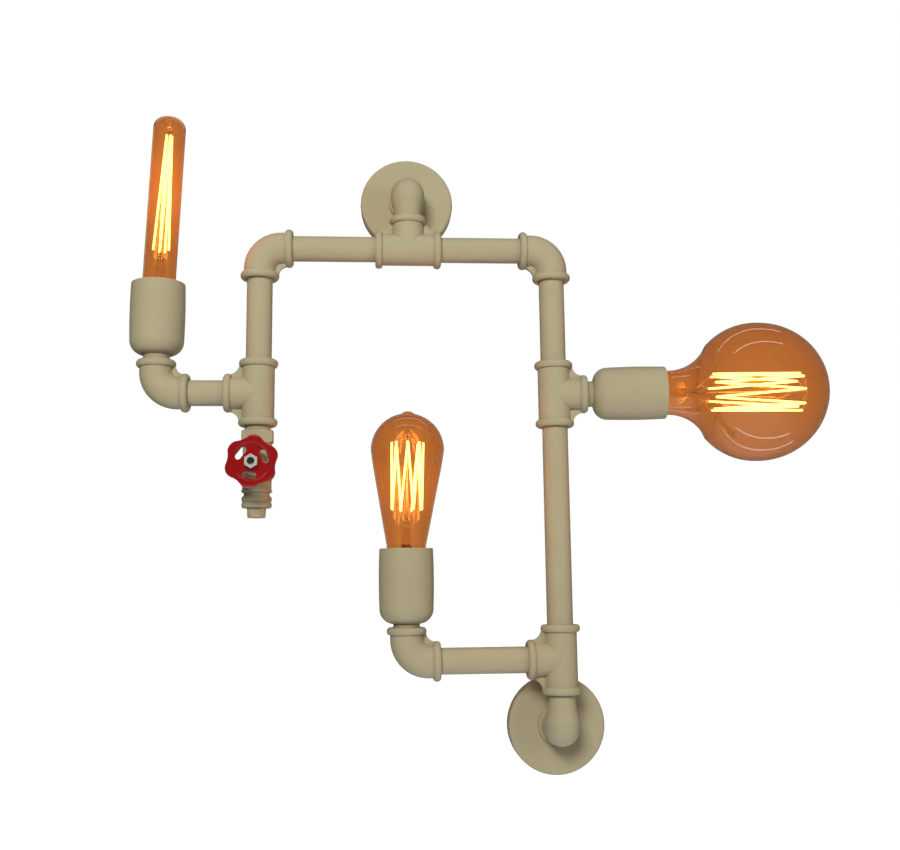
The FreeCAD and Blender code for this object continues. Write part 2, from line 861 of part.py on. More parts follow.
def make_holder(lamp):
    """A glazed ceramic E27 holder seated on the nipple's end, with a spigot in its bore."""
    body = new_body(lamp.name + "_holder_body")
    outer = half("holder_od")
    edge = sized("holder_edge")
    spigot = bore_r - sized("fit_gap")
    well = half("wire_well")
    height = sized("holder_height")
    recess = shell_out + sized("fit_gap")
    path = [
        (well, -sized("holder_spigot")),
        (spigot, -sized("holder_spigot")),
        (spigot, 0),
        (outer - edge, 0),
        (outer, edge),
        (outer, height - edge),
        Via(outer - edge * (1 - QUARTER), height - edge * (1 - QUARTER)),
        (outer - edge, height),
        (recess, height),
        (recess, holder_floor),
        (post_r + sized("fit_gap"), holder_floor),
        (post_r + sized("fit_gap"), sized("wire_well_depth")),
        (well, sized("wire_well_depth")),
    ]
    turn(body, draw(body, "XZ_Plane", path), "V_Axis")
    place(body, lamp.at(lamp.nipple_end), lamp.rotation)


def make_screw_shell(lamp):
    """The brass shell that the bulb screws into, turned in at its foot."""
    body = new_body("holder_shell", listed=False)
    wall = sized("shell_wall")
    height = sized("shell_height")
    foot = half("contact_od") + 1.5
    path = [
        (foot, 0),
        (shell_out, 0),
        (shell_out, height),
        (shell_in, height),
        (shell_in, wall),
        (foot, wall),
    ]
    turn(body, draw(body, "XZ_Plane", path), "V_Axis")
    place(body, lamp.at(lamp.nipple_end + holder_floor), lamp.rotation)
    return body


def make_contact(lamp):
    """The centre contact: a button on a post that goes down into the wire well."""
    body = new_body("holder_contact", listed=False)
    button = half("contact_od")
    height = sized("contact_height")
    post_end = sized("wire_well_depth") - holder_floor
    path = [
        (0, post_end),
        (post_r, post_end),
        (post_r, 0),
        (button * 0.8, 0),
        (button * 0.8, height / 2),
        (button, height / 2),
        (button, height - 0.4),
        (button - 0.4, height),
        (0, height),
    ]
    turn(body, draw(body, "XZ_Plane", path), "V_Axis")
    place(body, lamp.at(lamp.nipple_end + holder_floor), lamp.rotation)
    return body


for lamp in LAMPS:
    make_holder(lamp)
group("holder_screw_shells", [make_screw_shell(lamp) for lamp in LAMPS])
group("holder_contacts", [make_contact(lamp) for lamp in LAMPS])

# ---------------------------------------------------------------- bulbs

cap_r = half("cap_od")
cap_height = sized("cap_height")
glass_wall = sized("glass_wall")
base_height = sized("base_height")
SHELL_LIP = 2.6


def make_bulb_base(lamp, bulb):
    """The insulator and solder contact in the end of the bulb's cap, tip at z = 0."""
    body = new_body(bulb + "_bulb_base")
    tip = half("base_tip")
    skirt = cap_r - SHELL_LIP + 0.4
    neck = cap_r - SHELL_LIP - sized("fit_gap")
    path = [
        (0, 0),
        (tip, 0),
        (tip + 0.2, base_height / 4),
        (skirt, base_height - 0.2),
        (skirt, base_height),
        (neck, base_height),
        (neck, base_height + 1.8),
        (0, base_height + 1.8),
    ]
    turn(body, draw(body, "XZ_Plane", path), "V_Axis")
    place(body, lamp.at(lamp.bulb_foot), lamp.rotation)


def make_bulb_cap(lamp, bulb):
    """The E27 screw cap: a thin brass shell, turned in round the insulator."""
    body = new_body(bulb + "_bulb_cap")
    wall = sized("cap_wall")
    foot = base_height + sized("fit_gap")
    lip = cap_r - SHELL_LIP
    path = [
        (lip, foot),
        (lip + 1.2, foot),
        (cap_r, foot + 2.4),
        (cap_r, cap_height),
        (cap_r - wall, cap_height),
        (cap_r - wall, foot + 2.8),
        (lip, foot + wall),
    ]
    turn(body, draw(body, "XZ_Plane", path), "V_Axis")
    place(body, lamp.at(lamp.bulb_foot), lamp.rotation)


def bulb_place(lamp, lean, body):
    """Seat a glass piece on its cap, leaning by a few degrees as glass does in its cement."""
    lift = cap_r * math.sin(math.radians(lean))
    turned = lamp.rotation.multiply(Rotation(ACROSS_Y, lean))
    place(body, lamp.at(lamp.glass_foot + lift), turned)


def arc_point(centre, radius, degrees):
    """A point on a circle whose centre is on the axis: (across, along)."""
    angle = math.radians(degrees)
    return (radius * math.cos(angle), centre + radius * math.sin(angle))


def tube_outline(inset):
    """Outside of the tube bulb, or its inside where inset is the wall."""
    radius = half("tube_od") - inset
    top = sized("tube_length") - inset
    return [
        (cap_r - inset, 0),
        (radius, 4),
        (radius, top - 9.5),
        Via(radius * 0.83, top - 3.9),
        (radius * 0.42, top - 0.9),
        Via(radius * 0.22, top - 0.25),
        (0.4, top),
        (0, top),
    ]


def pear_outline(inset):
    radius = half("pear_od") - inset
    belly = sized("pear_belly")
    shoulder = half("pear_shoulder") - inset
    height = sized("pear_shoulder_height")
    pip = half("pip_od") - inset
    pip_foot = belly + root(radius * radius - pip * pip)
    return [
        (cap_r - inset, 0),
        Via(half("pear_neck") - inset - 0.8, 2.6),
        (half("pear_neck") - inset, sized("neck_height") - 1.5),
        (shoulder, height),
        Via(radius * 0.65 + shoulder * 0.35, belly * 0.58 + height * 0.42),
        (radius, belly),
        Via(*arc_point(belly, radius, 40)),
        (pip, pip_foot),
        Via(pip * 0.75, pip_foot + sized("pip_height") * 0.7),
        (0.4, pip_foot + sized("pip_height")),
        (0, pip_foot + sized("pip_height")),
    ]


def globe_outline(inset):
    radius = half("globe_od") - inset
    belly = sized("globe_belly")
    neck = half("globe_neck") - inset
    flare = arc_point(belly, radius, -46)
    return [
        (cap_r - inset, 0),
        Via(neck - 1.6, 3.0),
        (neck, sized("neck_height")),
        (neck + 0.4, sized("neck_height") + 5),
        Via(neck * 0.62 + flare[0] * 0.38, flare[1] * 0.73 + sized("neck_height") * 0.13),
        flare,
        Via(*arc_point(belly, radius + 0.5, -22)),
        (radius, belly),
        Via(*arc_point(belly, radius, 45)),
        (0, belly + radius),
    ]


def make_glass(lamp, bulb, outline, lean):
    """A blown envelope of even wall, open at the neck where the stem closes it."""
    body = new_body(bulb + "_bulb_glass")
    outside = outline(as_size(0))
    inside = outline(glass_wall)
    path = outside + list(reversed(inside))
    turn(body, draw(body, "XZ_Plane", path), "V_Axis")
    bulb_place(lamp, lean, body)


def make_stem(lamp, bulb, lean):
    """The glass stem: a flare that closes the neck, a tube and a flattened press."""
    body = new_body(bulb + "_bulb_stem")
    radius = half("stem_od")
    length = sized("stem_length")
    flare = cap_r - glass_wall - sized("fit_gap")
    path = [
        (0, 0),
        (flare, 0),
        (flare, 0.8),
        Via(radius * 1.55, 3.6),
        (radius, 9),
        (radius, length - 7),
        (radius * 0.7, length - 4),
        (radius * 0.7, length - 1),
        Via(radius * 0.45, length - 0.2),
        (0.4, length),
        (0, length),
    ]
    turn(body, draw(body, "XZ_Plane", path), "V_Axis")
    bulb_place(lamp, lean, body)


def bent_wire(points, diameter):
    """A thin wire bent through the points, its section a hexagon of that width."""
    route = Part.makePolygon(points)
    first = (points[1] - points[0]).normalize()
    side = first.cross(ACROSS_Y)
    if side.Length < 0.1:
        side = first.cross(ACROSS_X)
    side.normalize()
    corners = []
    for step in range(7):
        spin = Rotation(first, 60 * step)
        corners.append(points[0] + spin.multVec(side) * (diameter / 2))
    section = Part.makePolygon(corners)
    return route.makePipeShell([section], True, False, 1)


def cage_points(low, high, low_r, high_r, strands, squash):
    """Strands that run up and down round an oval, joined at their ends by short steps."""
    points = []
    for strand in range(strands):
        angle = math.radians(200 + 320 * strand / (strands - 1) - 90)
        around = Vector(math.cos(angle), squash * math.sin(angle), 0)
        bottom = around * low_r + Vector(0, 0, low)
        top = around * high_r + Vector(0, 0, high)
        points += [bottom, top] if strand % 2 == 0 else [top, bottom]
    return points


def make_filament(lamp, bulb, low_alias, high_alias, low_r, high_r, strands, squash, lean):
    """One carbon filament wound up and down, with the two wires that carry it from the stem."""
    low = sized(low_alias).number
    high = sized(high_alias).number
    press = sized("stem_length").number
    cage = cage_points(low, high, low_r, high_r, strands, squash)
    start = Vector(-sized("stem_od").number / 4, 0, press - 2.5)
    stop = Vector(sized("stem_od").number / 4, 0, press - 2.5)
    lead_a = Vector(start.x, 0, (press + low) / 2)
    lead_b = Vector(stop.x, 0, (press + low) / 2)
    wire = bent_wire([start, lead_a] + cage + [lead_b, stop], sized("filament_wire").number)
    item = doc.addObject("Part::Feature", bulb + "_bulb_filament")
    item.Label = bulb + "_bulb_filament"
    item.Shape = wire
    subparts.append(item)
    bulb_place(lamp, lean, item)


# (lamp, name, outline, lean in degrees, filament cage: low and high radius, strands, squash)
BULBS = (
    (left_lamp, "tube", tube_outline, 2.2, (6.6, 2.6, 8, 0.75)),
    (centre_lamp, "pear", pear_outline, 1.0, (10.5, 13.5, 10, 0.8)),
    (right_lamp, "globe", globe_outline, 0.5, (15.5, 15.5, 10, 0.9)),
)
for lamp, bulb, outline, lean, cage in BULBS:
    make_bulb_base(lamp, bulb)
    make_bulb_cap(lamp, bulb)
    make_glass(lamp, bulb, outline, lean)
    make_stem(lamp, bulb, lean)
    make_filament(lamp, bulb, bulb + "_filament_low", bulb + "_filament_high", *cage, lean)

# ---------------------------------------------------------------- gate valve

valve_z = valve_top_z - sized("valve_top")
valve_r = half("valve_ball")
chest_face = sized("valve_chest")
bonnet_face = chest_face + sized("bonnet_height")
gland_face = bonnet_face + sized("gland_height")
wheel_plane = sized("wheel_plane")
rod_r = half("stem_rod")
VALVE_FRONT = Rotation(ACROSS_X, 90)


def make_valve_body():
    """A ball-shaped valve body: hexagonal top collar, plain lower end and a round chest in front."""
    body = new_body("valve_body")
    end_r = half("valve_end_od")
    top = sized("valve_top")
    bottom = sized("valve_bottom")
    ball_end = root(valve_r * valve_r - end_r * end_r)
    path = [
        (0, top - sized("collar_height") + 1),
        (end_r, top - sized("collar_height") + 1),
        (end_r, ball_end),
        Via(valve_r, 0),
        (end_r, -ball_end),
        (end_r, 2.4 - bottom),
        (end_r + 0.6, 1.8 - bottom),
        (end_r + 0.6, 0.4 - bottom),
        (end_r + 0.2, -bottom),
        (0, -bottom),
    ]
    turn(body, draw(body, "XZ_Plane", path), "V_Axis")
    add_hex(body, sized("collar_flats"), top - sized("collar_height"), top)
    chest = draw_circles(body, "XZ_Plane", [((0, 0), half("chest_od"))])
    push(body, chest, chest_face)
    gate_r = half("gate_bore")
    mouth = sized("valve_socket")
    water = [
        (0, top),
        (socket_r + MOUTH, top),
        (socket_r, top - MOUTH),
        (socket_r, top - mouth),
        (gate_r, top - mouth),
        (gate_r, mouth - bottom),
        (socket_r, mouth - bottom),
        (socket_r, MOUTH - bottom),
        (socket_r + MOUTH, -bottom),
        (0, -bottom),
    ]
    turn(body, draw(body, "XZ_Plane", water), "V_Axis", cut=True)
    room = half("gate_width") + sized("gate_gap") + 0.2
    seat = sized("gate_thick") / 2 + sized("gate_gap")
    pocket = [(room, seat), (-room, seat), (-room, -seat), (room, -seat)]
    slot = draw(body, "XZ_Plane", pocket, lift=(0, 0, -room))
    push(body, slot, chest_face + room + 1, cut=True, backwards=True)
    bore = draw_circles(body, "XZ_Plane", [((0, 0), half("bonnet_bore"))], lift=(0, 0, chest_face - 3))
    push(body, bore, 5, cut=True, backwards=True)
    place(body, (left_x, pipe_y, valve_z))


def make_bonnet():
    """The bonnet: a hexagon against the chest, a round neck and a hollow for the raised gate."""
    body = new_body("valve_bonnet")
    hex_top = chest_face + sized("bonnet_hex")
    flats = sized("bonnet_flats")
    add_hex(body, flats, chest_face, hex_top, bottom=False)
    neck = half("bonnet_od")
    hollow = half("bonnet_bore")
    shank = [
        (0, chest_face - 2.5),
        (hollow - sized("fit_gap"), chest_face - 2.5),
        (hollow - sized("fit_gap"), chest_face + 1),
        (neck, chest_face + 1),
        (neck, bonnet_face - 3),
        Via(neck - 0.9, bonnet_face - 0.9),
        (neck - 3, bonnet_face),
        (0, bonnet_face),
    ]
    turn(body, draw(body, "XZ_Plane", shank), "V_Axis")
    gate_r = half("gate_width")
    gate_side = sized("gate_thick") / 2
    room = root(gate_r * gate_r + gate_side * gate_side) + sized("gate_gap")
    ceiling = bonnet_face - 5.6
    collar_r = half("stem_collar") + sized("gate_gap")
    hole = [
        (0, chest_face - 4),
        (room, chest_face - 4),
        (room, ceiling),
        (collar_r, ceiling),
        (collar_r, bonnet_face - 3),
        (rod_r + 0.05, bonnet_face - 3),
        (rod_r + 0.05, bonnet_face + 1),
        (0, bonnet_face + 1),
    ]
    turn(body, draw(body, "XZ_Plane", hole), "V_Axis", cut=True)
    place(body, (left_x, pipe_y, valve_z), VALVE_FRONT)


def make_gland_nut():
    """The hexagonal packing nut round the stem."""
    body = new_body("valve_gland_nut")
    add_hex(body, sized("gland_flats"), bonnet_face, gland_face)
    hole = draw_circles(body, "XY_Plane", [((0, 0), rod_r + 0.05)], lift=(0, 0, bonnet_face - 1))
    push(body, hole, sized("gland_height") + 2, cut=True, backwards=True)
    place(body, (left_x, pipe_y, valve_z), VALVE_FRONT)


gate_bottom = -half("gate_width")
stem_foot = gate_bottom + 1.0 + sized("gate_travel")
wheel_back = wheel_plane - sized("wheel_hub_back")
wheel_front = wheel_plane + sized("wheel_web") / 2 + 1.0
nut_front = wheel_front + sized("wheel_nut_height")


def make_stem():
    """The non-rising stem: it turns in the bonnet on a collar and its screw lifts the gate."""
    body = new_body("valve_stem")
    collar = half("stem_collar")
    spindle = half("spindle_od")
    collar_top = bonnet_face - 3 - sized("gate_gap")
    path = [
        (0, stem_foot),
        (spindle - 0.4, stem_foot),
        (spindle, stem_foot + 0.4),
        (spindle, collar_top - sized("stem_collar_height")),
        (collar, collar_top - sized("stem_collar_height")),
        (collar, collar_top),
        (rod_r, collar_top),
        (rod_r, nut_front + 0.2),
        (rod_r - 0.6, nut_front + 0.8),
        (0, nut_front + 0.8),
    ]
    turn(body, draw(body, "XZ_Plane", path), "V_Axis")
    place(body, (left_x, pipe_y, valve_z), VALVE_FRONT)


def make_gate():
    """The gate: a disc across the bore with a short boss, tapped for the spindle."""
    body = new_body("valve_gate")
    radius = half("gate_width")
    disc = draw_circles(body, "XY_Plane", [((0, 0), radius)])
    push(body, disc, sized("gate_thick"), both=True)
    side = sized("gate_thick") / 2
    boss = [(side + 1, side), (-side - 1, side), (-side - 1, -side), (side + 1, -side)]
    push(body, draw(body, "XZ_Plane", boss), radius + sized("gate_boss"))
    bore = half("spindle_od") + 0.05
    hole = draw_circles(body, "XZ_Plane", [((0, 0), bore)], lift=(0, 0, gate_bottom + 0.8))
    push(body, hole, 3 * radius, cut=True, backwards=True)
    place(body, (left_x, pipe_y, valve_z))


make_valve_body()
make_bonnet()
make_gland_nut()
make_stem()
make_gate()

# ---------------------------------------------------------------- handwheel


def lobed_path(outer, valley, lobes, first):
    """A closed wavy rim: arcs that bulge at each lobe and dip between two lobes."""
    path = []
    step = 360.0 / lobes
    middle = (outer + valley) / 2
    for lobe in range(lobes):
        centre = first + step * lobe
        for offset, radius in ((-step / 4, middle), (0, outer), (step / 4, middle), (step / 2, valley)):
            angle = math.radians(centre + offset)
            point = (radius * math.cos(angle), radius * math.sin(angle))
            path.append(Via(*point) if offset in (0, step / 2) else point)
    return path


def slot_path(centre_angle, radius, length, width):
    """A rounded slot that lies across the wheel's radius."""
    out = math.radians(centre_angle)
    along = (-math.sin(out), math.cos(out))
    outward = (math.cos(out), math.sin(out))
    straight = (length - width) / 2

    def at(run, lift):
        across = radius * outward[0] + run * along[0] + lift * outward[0]
        rise = radius * outward[1] + run * along[1] + lift * outward[1]
        return (across, rise)

    side = width / 2
    zero = as_size(0)
    return [
        at(-straight, -side),
        at(straight, -side),
        Via(*at(straight + side, zero)),
        at(straight, side),
        at(-straight, side),
        Via(*at(-straight - side, zero)),
    ]


def make_handwheel():
    """A cast wheel with six finger lobes, a thick rim, a dished web with three slots and a hub."""
    body = new_body("valve_handwheel")
    rim = sized("wheel_rim")
    web = sized("wheel_web")
    turn_by = SIZES["wheel_turn"]
    outline = lobed_path(half("wheel_od"), half("wheel_valley"), 6, turn_by)
    push(body, draw(body, "XY_Plane", outline), rim, both=True)
    rim_r = half("wheel_od")
    edge = rim / 2
    for sign in (1, -1):
        corner = [
            (rim_r - 2.6, sign * edge),
            (rim_r + 1, sign * edge),
            (rim_r + 1, sign * edge * 0.2),
            (rim_r - 0.2, sign * edge * 0.3),
            Via(rim_r - 0.95, sign * edge * 0.72),
        ]
        turn(body, draw(body, "XZ_Plane", corner), "V_Axis", cut=True)
        dish_r = half("wheel_dish")
        dish = [
            (0, sign * (edge + 1)),
            (dish_r + 0.6, sign * (edge + 1)),
            (dish_r + 0.6, sign * edge),
            (dish_r - 1.2, sign * (web / 2 + 0.5)),
            (dish_r - 3, sign * web / 2),
            (0, sign * web / 2),
        ]
        turn(body, draw(body, "XZ_Plane", dish), "V_Axis", cut=True)
    hub_r = half("wheel_hub")
    hub_back = -sized("wheel_hub_back")
    hub_front = web / 2 + 1.0
    hub = [
        (0, hub_back),
        (hub_r - 0.5, hub_back),
        (hub_r, hub_back + 0.5),
        (hub_r, 0),
        (hub_r - 0.2, hub_front - 0.4),
        (hub_r - 0.6, hub_front),
        (0, hub_front),
    ]
    turn(body, draw(body, "XZ_Plane", hub), "V_Axis")
    for step in range(3):
        path = slot_path(
            turn_by + 120 * step,
            sized("wheel_slot_radius"),
            sized("wheel_slot_length"),
            sized("wheel_slot_width"),
        )
        push(body, draw(body, "XY_Plane", path), 2 * rim, cut=True, both=True)
    push(body, draw_circles(body, "XY_Plane", [((0, 0), rod_r + 0.05)]), 3 * rim, cut=True, both=True)
    place(body, (left_x, pipe_y - wheel_plane, valve_z), VALVE_FRONT)


def make_wheel_nut():
    """The hexagonal nut that holds the wheel on its stem."""
    body = new_body("handwheel_nut")
    add_hex(body, sized("wheel_nut_flats"), wheel_front, nut_front, bottom=False)
    hole = draw_circles(body, "XY_Plane", [((0, 0), rod_r + 0.05)], lift=(0, 0, wheel_front - 1))
    push(body, hole, sized("wheel_nut_height") + 2, cut=True, backwards=True)
    place(body, (left_x, pipe_y, valve_z), VALVE_FRONT)


def make_plug():
    """The plug in the valve's lower end: threaded shank, waist, grooved bead and square head."""
    body = new_body("valve_plug")
    waist = half("plug_waist")
    bead = half("plug_bead")
    waist_end = -sized("plug_waist_height")
    bead_end = waist_end - sized("plug_bead_height")
    middle = (waist_end + bead_end) / 2
    path = [
        (0, sized("valve_socket") - 1),
        (pipe_r - 0.8, sized("valve_socket") - 1),
        (pipe_r, sized("valve_socket") - 1.8),
        (pipe_r, 0.5),
        (waist, 0),
        (waist, waist_end),
        (bead - 0.9, waist_end),
        Via(bead, waist_end - 2.2),
        (bead - 0.5, middle + 0.5),
        (bead - 1.1, middle),
        (bead - 0.5, middle - 0.5),
        Via(bead, bead_end + 2.2),
        (bead - 0.9, bead_end),
        (0, bead_end),
    ]
    turn(body, draw(body, "XZ_Plane", path), "V_Axis")
    side = half("plug_head")
    low = bead_end - sized("plug_head_height")
    square = [(side, side), (-side, side), (-side, -side), (side, -side)]
    push(body, draw(body, "XY_Plane", square, lift=(0, 0, low)), sized("plug_head_height") + 0.5)
    taper = [(side * 1.25, bead_end), (side * 1.6, bead_end), (side * 1.6, low - 1), (side * 0.95, low - 1)]
    turn(body, draw(body, "XZ_Plane", taper), "V_Axis", cut=True)
    place(body, (left_x, pipe_y, valve_z - sized("valve_bottom")))


make_handwheel()
make_wheel_nut()
make_plug()

# ---------------------------------------------------------------- internal wiring

lead_r = half("lead_od")


def rounded_route(corners, radii):
    """Straight runs joined by tangent arcs, one radius for each inner corner."""
    pieces = []
    start = corners[0]
    for index, radius in enumerate(radii, start=1):
        corner = corners[index]
        into = (corner - corners[index - 1]).normalize()
        out = (corners[index + 1] - corner).normalize()
        bend_angle = math.acos(max(-1.0, min(1.0, into.dot(out))))
        back = radius * math.tan(bend_angle / 2)
        first = corner - into * back
        last = corner + out * back
        inward = (out - into).normalize()
        hub = corner + inward * (radius / math.cos(bend_angle / 2))
        middle = hub - inward * radius
        if (first - start).Length > 0.01:
            pieces.append(Part.LineSegment(start, first).toShape())
        pieces.append(Part.Arc(first, middle, last).toShape())
        start = last
    if (corners[-1] - start).Length > 0.01:
        pieces.append(Part.LineSegment(start, corners[-1]).toShape())
    return Part.Wire(pieces)


def make_lead(name, corners, radii):
    """A round flexible lead swept along its whole way through the pipework."""
    route = rounded_route([Vector(*[as_size(value).number for value in corner]) for corner in corners], radii)
    first = (Vector(*[as_size(value).number for value in corners[1]]) - route.Vertexes[0].Point).normalize()
    section = Part.Wire([Part.Circle(route.Vertexes[0].Point, first, lead_r.number).toShape()])
    item = doc.addObject("Part::Feature", name)
    item.Label = name
    item.Shape = route.makePipeShell([section], True, False, 2)
    subparts.append(item)
    wanted = math.pi * lead_r.number ** 2 * route.Length
    if abs(item.Shape.Volume - wanted) > 0.02 * wanted:
        raise RuntimeError("%s isn't swept evenly along its way" % name)


# The three leads share the bores side by side. Each has its own place across the riser and its
# own depth from the wall, so that no two of them cross.
lead_bend = SIZES["lead_bend"]
riser_bend = SIZES["riser_bend"]
plate_bend = SIZES["plate_bend"]
lead_pitch = sized("lead_pitch")
lead_side = sized("lead_side")
block_foot = sized("block_lift") - sized("block_height") / 2
lead_stop = block_foot + sized("block_slot")
turn_up = -(sized("bracket_wall") + lead_r + sized("lead_room"))


def way_out(across, deep):
    """Up the riser, through the upper street elbow and into the terminal block."""
    return [
        (across, pipe_y + deep, top_z),
        (across, pipe_y + deep, 0),
        (across, turn_up, 0),
        (across, turn_up, lead_stop),
    ]


lamp_side = sized("wire_well_depth")
left_end = left_lamp.at(left_lamp.nipple_end + lamp_side)
left_way = [
    left_end,
    (lamp_elbow_x, pipe_y, left_tee_z),
    (left_x, pipe_y, left_tee_z),
    (left_x, pipe_y, top_z),
]
make_lead("left_lamp_lead", left_way + way_out(-lead_pitch, as_size(0)), [lead_bend] * 4 + [riser_bend, plate_bend])

centre_end = centre_lamp.at(centre_lamp.nipple_end + lamp_side)
centre_y = pipe_y - lead_side
centre_way = [
    (centre_end[0], centre_y, centre_end[2]),
    (centre_elbow_x, centre_y, bottom_z),
    (right_x, centre_y, bottom_z),
    (right_x, centre_y, top_z),
]
make_lead("centre_lamp_lead", centre_way + way_out(as_size(0), -lead_side), [lead_bend] * 4 + [riser_bend, plate_bend])

right_end = right_lamp.at(right_lamp.nipple_end + lamp_side)
right_y = pipe_y + lead_side
right_way = [
    right_end,
    (right_x, right_y, right_tee_z),
    (right_x, right_y, top_z),
]
make_lead("right_lamp_lead", right_way + way_out(lead_pitch, lead_side), [lead_bend] * 3 + [riser_bend, plate_bend])


def make_terminal_block():
    """The insulated block in the upper plate where the three leads end."""
    body = new_body("terminal_block")
    wide = half("block_width")
    low = block_foot
    high = block_foot + sized("block_height")
    edge = 1.0
    path = [
        (wide - edge, low),
        (wide, low + edge),
        (wide, high - edge),
        (wide - edge, high),
        (edge - wide, high),
        (-wide, high - edge),
        (-wide, low + edge),
        (edge - wide, low),
    ]
    deep = sized("block_depth")
    push(body, draw(body, "XZ_Plane", path, lift=(0, 0, 0.3)), deep)
    room = lead_r + 0.15
    mouth = lead_pitch + room
    slot = [(mouth, turn_up + room), (-mouth, turn_up + room), (-mouth, turn_up - room), (mouth, turn_up - room)]
    push(body, draw(body, "XY_Plane", slot, lift=(0, 0, low)), sized("block_slot"), cut=True, backwards=True)
    screws = [((spot * lead_pitch * 1.45, (low + high) / 2 + 1.5), 1.6) for spot in (-1, 0, 1)]
    push(body, draw_circles(body, "XZ_Plane", screws, lift=(0, 0, deep + 0.3)), 2, cut=True)


make_terminal_block()

# ---------------------------------------------------------------- checks and files

doc.recompute()


def check_model():
    """Stop if any object failed, a cut removed nothing or a sub-part isn't a sound solid."""
    for item in doc.Objects:
        if "Invalid" in item.State or "Error" in item.State:
            raise RuntimeError("%s (%s) failed: %s" % (item.Label, item.Name, item.State))
        if item.TypeId == "Sketcher::SketchObject" and not item.FullyConstrained:
            raise RuntimeError("%s isn't fully constrained" % item.Name)
        if item.TypeId in ("PartDesign::Groove", "PartDesign::Pocket"):
            if item.Shape.Volume > item.BaseFeature.Shape.Volume - 0.01:
                raise RuntimeError("%s cuts nothing" % item.Name)
    for item in subparts:
        if item.Shape.isNull() or not item.Shape.isValid() or not item.Shape.Solids:
            raise RuntimeError("%s has no sound solid" % item.Label)


check_model()
os.makedirs("parts", exist_ok=True)
for item in subparts:
    item.Shape.exportStep(os.path.join("parts", item.Label + ".step"))
print("%d sub-parts written" % len(subparts))
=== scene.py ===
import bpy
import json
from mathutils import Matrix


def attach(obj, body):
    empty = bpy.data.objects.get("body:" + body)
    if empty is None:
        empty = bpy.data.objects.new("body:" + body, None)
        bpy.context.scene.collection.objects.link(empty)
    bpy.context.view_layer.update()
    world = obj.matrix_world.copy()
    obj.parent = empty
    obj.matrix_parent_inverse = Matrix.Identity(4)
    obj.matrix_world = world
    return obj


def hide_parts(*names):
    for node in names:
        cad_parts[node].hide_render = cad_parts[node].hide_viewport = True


bl_info = {
    "name": "Pipe wall light",
    "version": (1, 0, 0),
    "blender": (4, 2, 0),
    "location": "View3D > Sidebar > Wall light",
    "description": "Finishes, threads, bulb details and a studio for a pipe wall light",
    "category": "Object",
}

import json
import math

import bpy
from mathutils import Matrix, Vector

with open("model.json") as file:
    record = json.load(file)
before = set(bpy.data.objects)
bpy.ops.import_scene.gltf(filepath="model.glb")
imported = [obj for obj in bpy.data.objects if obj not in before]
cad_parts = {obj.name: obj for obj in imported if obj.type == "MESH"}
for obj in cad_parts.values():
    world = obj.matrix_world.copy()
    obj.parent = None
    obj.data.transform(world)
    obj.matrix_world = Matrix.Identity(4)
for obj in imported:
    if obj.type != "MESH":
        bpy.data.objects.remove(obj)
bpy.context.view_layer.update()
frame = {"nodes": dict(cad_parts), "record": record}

MM = 0.001
COLLECTION = bpy.context.scene.collection

# ---------------------------------------------------------------- where things are (row frame)

PIPE_Y = -41.5
FORWARD = math.radians(6.2)
UPRIGHT = Matrix.Identity(3)
SIDEWAYS = Matrix.Rotation(-FORWARD, 3, "Z") @ Matrix.Rotation(math.pi / 2, 3, "Y")
DOWNWARD = Matrix.Rotation(math.pi, 3, "X")

# Each lamp: the centre of its fitting, the way it points, and heights along its own axis.
# The oval is the filament's: low and high radius, depth to width, strands. The last entry is how far the
# filament's glow, painted on the glass, reaches.
LAMPS = {
    "tube": {
        "side": "left",
        "centre": Vector((-209.8, PIPE_Y, -176.6)),
        "turn": UPRIGHT,
        "neck": (27.5, 32.0),
        "cap": 59.5,
        "lean": 2.2,
        "press": 28.0,
        "cage": (35.0, 138.0),
        "oval": (6.6, 2.6, 0.75, 8),
        "haze": (26.0, 26.0, 70.0),
    },
    "pear": {
        "side": "centre",
        "centre": Vector((-3.0, PIPE_Y, -397.7)),
        "turn": UPRIGHT,
        "neck": (27.5, 30.3),
        "cap": 59.5,
        "lean": 1.0,
        "press": 28.0,
        "cage": (36.0, 93.0),
        "oval": (13.2, 13.2, 0.8, 14),
        "haze": (34.0, 34.0, 48.0),
    },
    "globe": {
        "side": "right",
        "centre": Vector((123.3, PIPE_Y, -177.7)),
        "turn": SIDEWAYS,
        "neck": (28.0, 32.6),
        "cap": 60.5,
        "lean": 0.5,
        "press": 28.0,
        "cage": (46.0, 121.0),
        "oval": (16.0, 16.0, 0.9, 14),
        "haze": (62.0, 50.0, 42.0),
    },
}
CAP_HEIGHT = 27.0
CAP_RADIUS = 13.2
CAP_THREAD = {"start": 8.6, "radius": 12.72, "ridge": 0.6}
CEMENT_RING = {"above": 0.1, "radius": 12.75, "ridge": 0.6}
PIPE_THREAD = {"radius": 10.55, "ridge": 0.5, "margin": 0.6}
VALVE_NECK = {"centre": Vector((-125.5, PIPE_Y, -176.6)), "span": (28.0, 31.5)}

# Filaments: the first hook's angle and the sweep of all, then the wires and the glass button that hold them.
CAGE_START = math.radians(110)
CAGE_SWEEP = math.radians(320)
HOOK_TURN = 1.6
ROD_WIRE = 0.9
LEAD_WIRE = 0.6
HOOK_WIRE = 0.45
BUTTON_RADIUS = 1.7
BUTTON_ABOVE = 5.0


def along(lamp, height):
    """The point on a lamp's axis at this height, in millimetres."""
    return lamp["centre"] + lamp["turn"] @ Vector((0, 0, height))


def glass_frame(lamp):
    """Foot and turn of a bulb's glass, which leans a little in its cap."""
    lean = math.radians(lamp["lean"])
    foot = along(lamp, lamp["cap"] + CAP_HEIGHT + CAP_RADIUS * math.sin(lean))
    return foot, lamp["turn"] @ Matrix.Rotation(lean, 3, "Y")


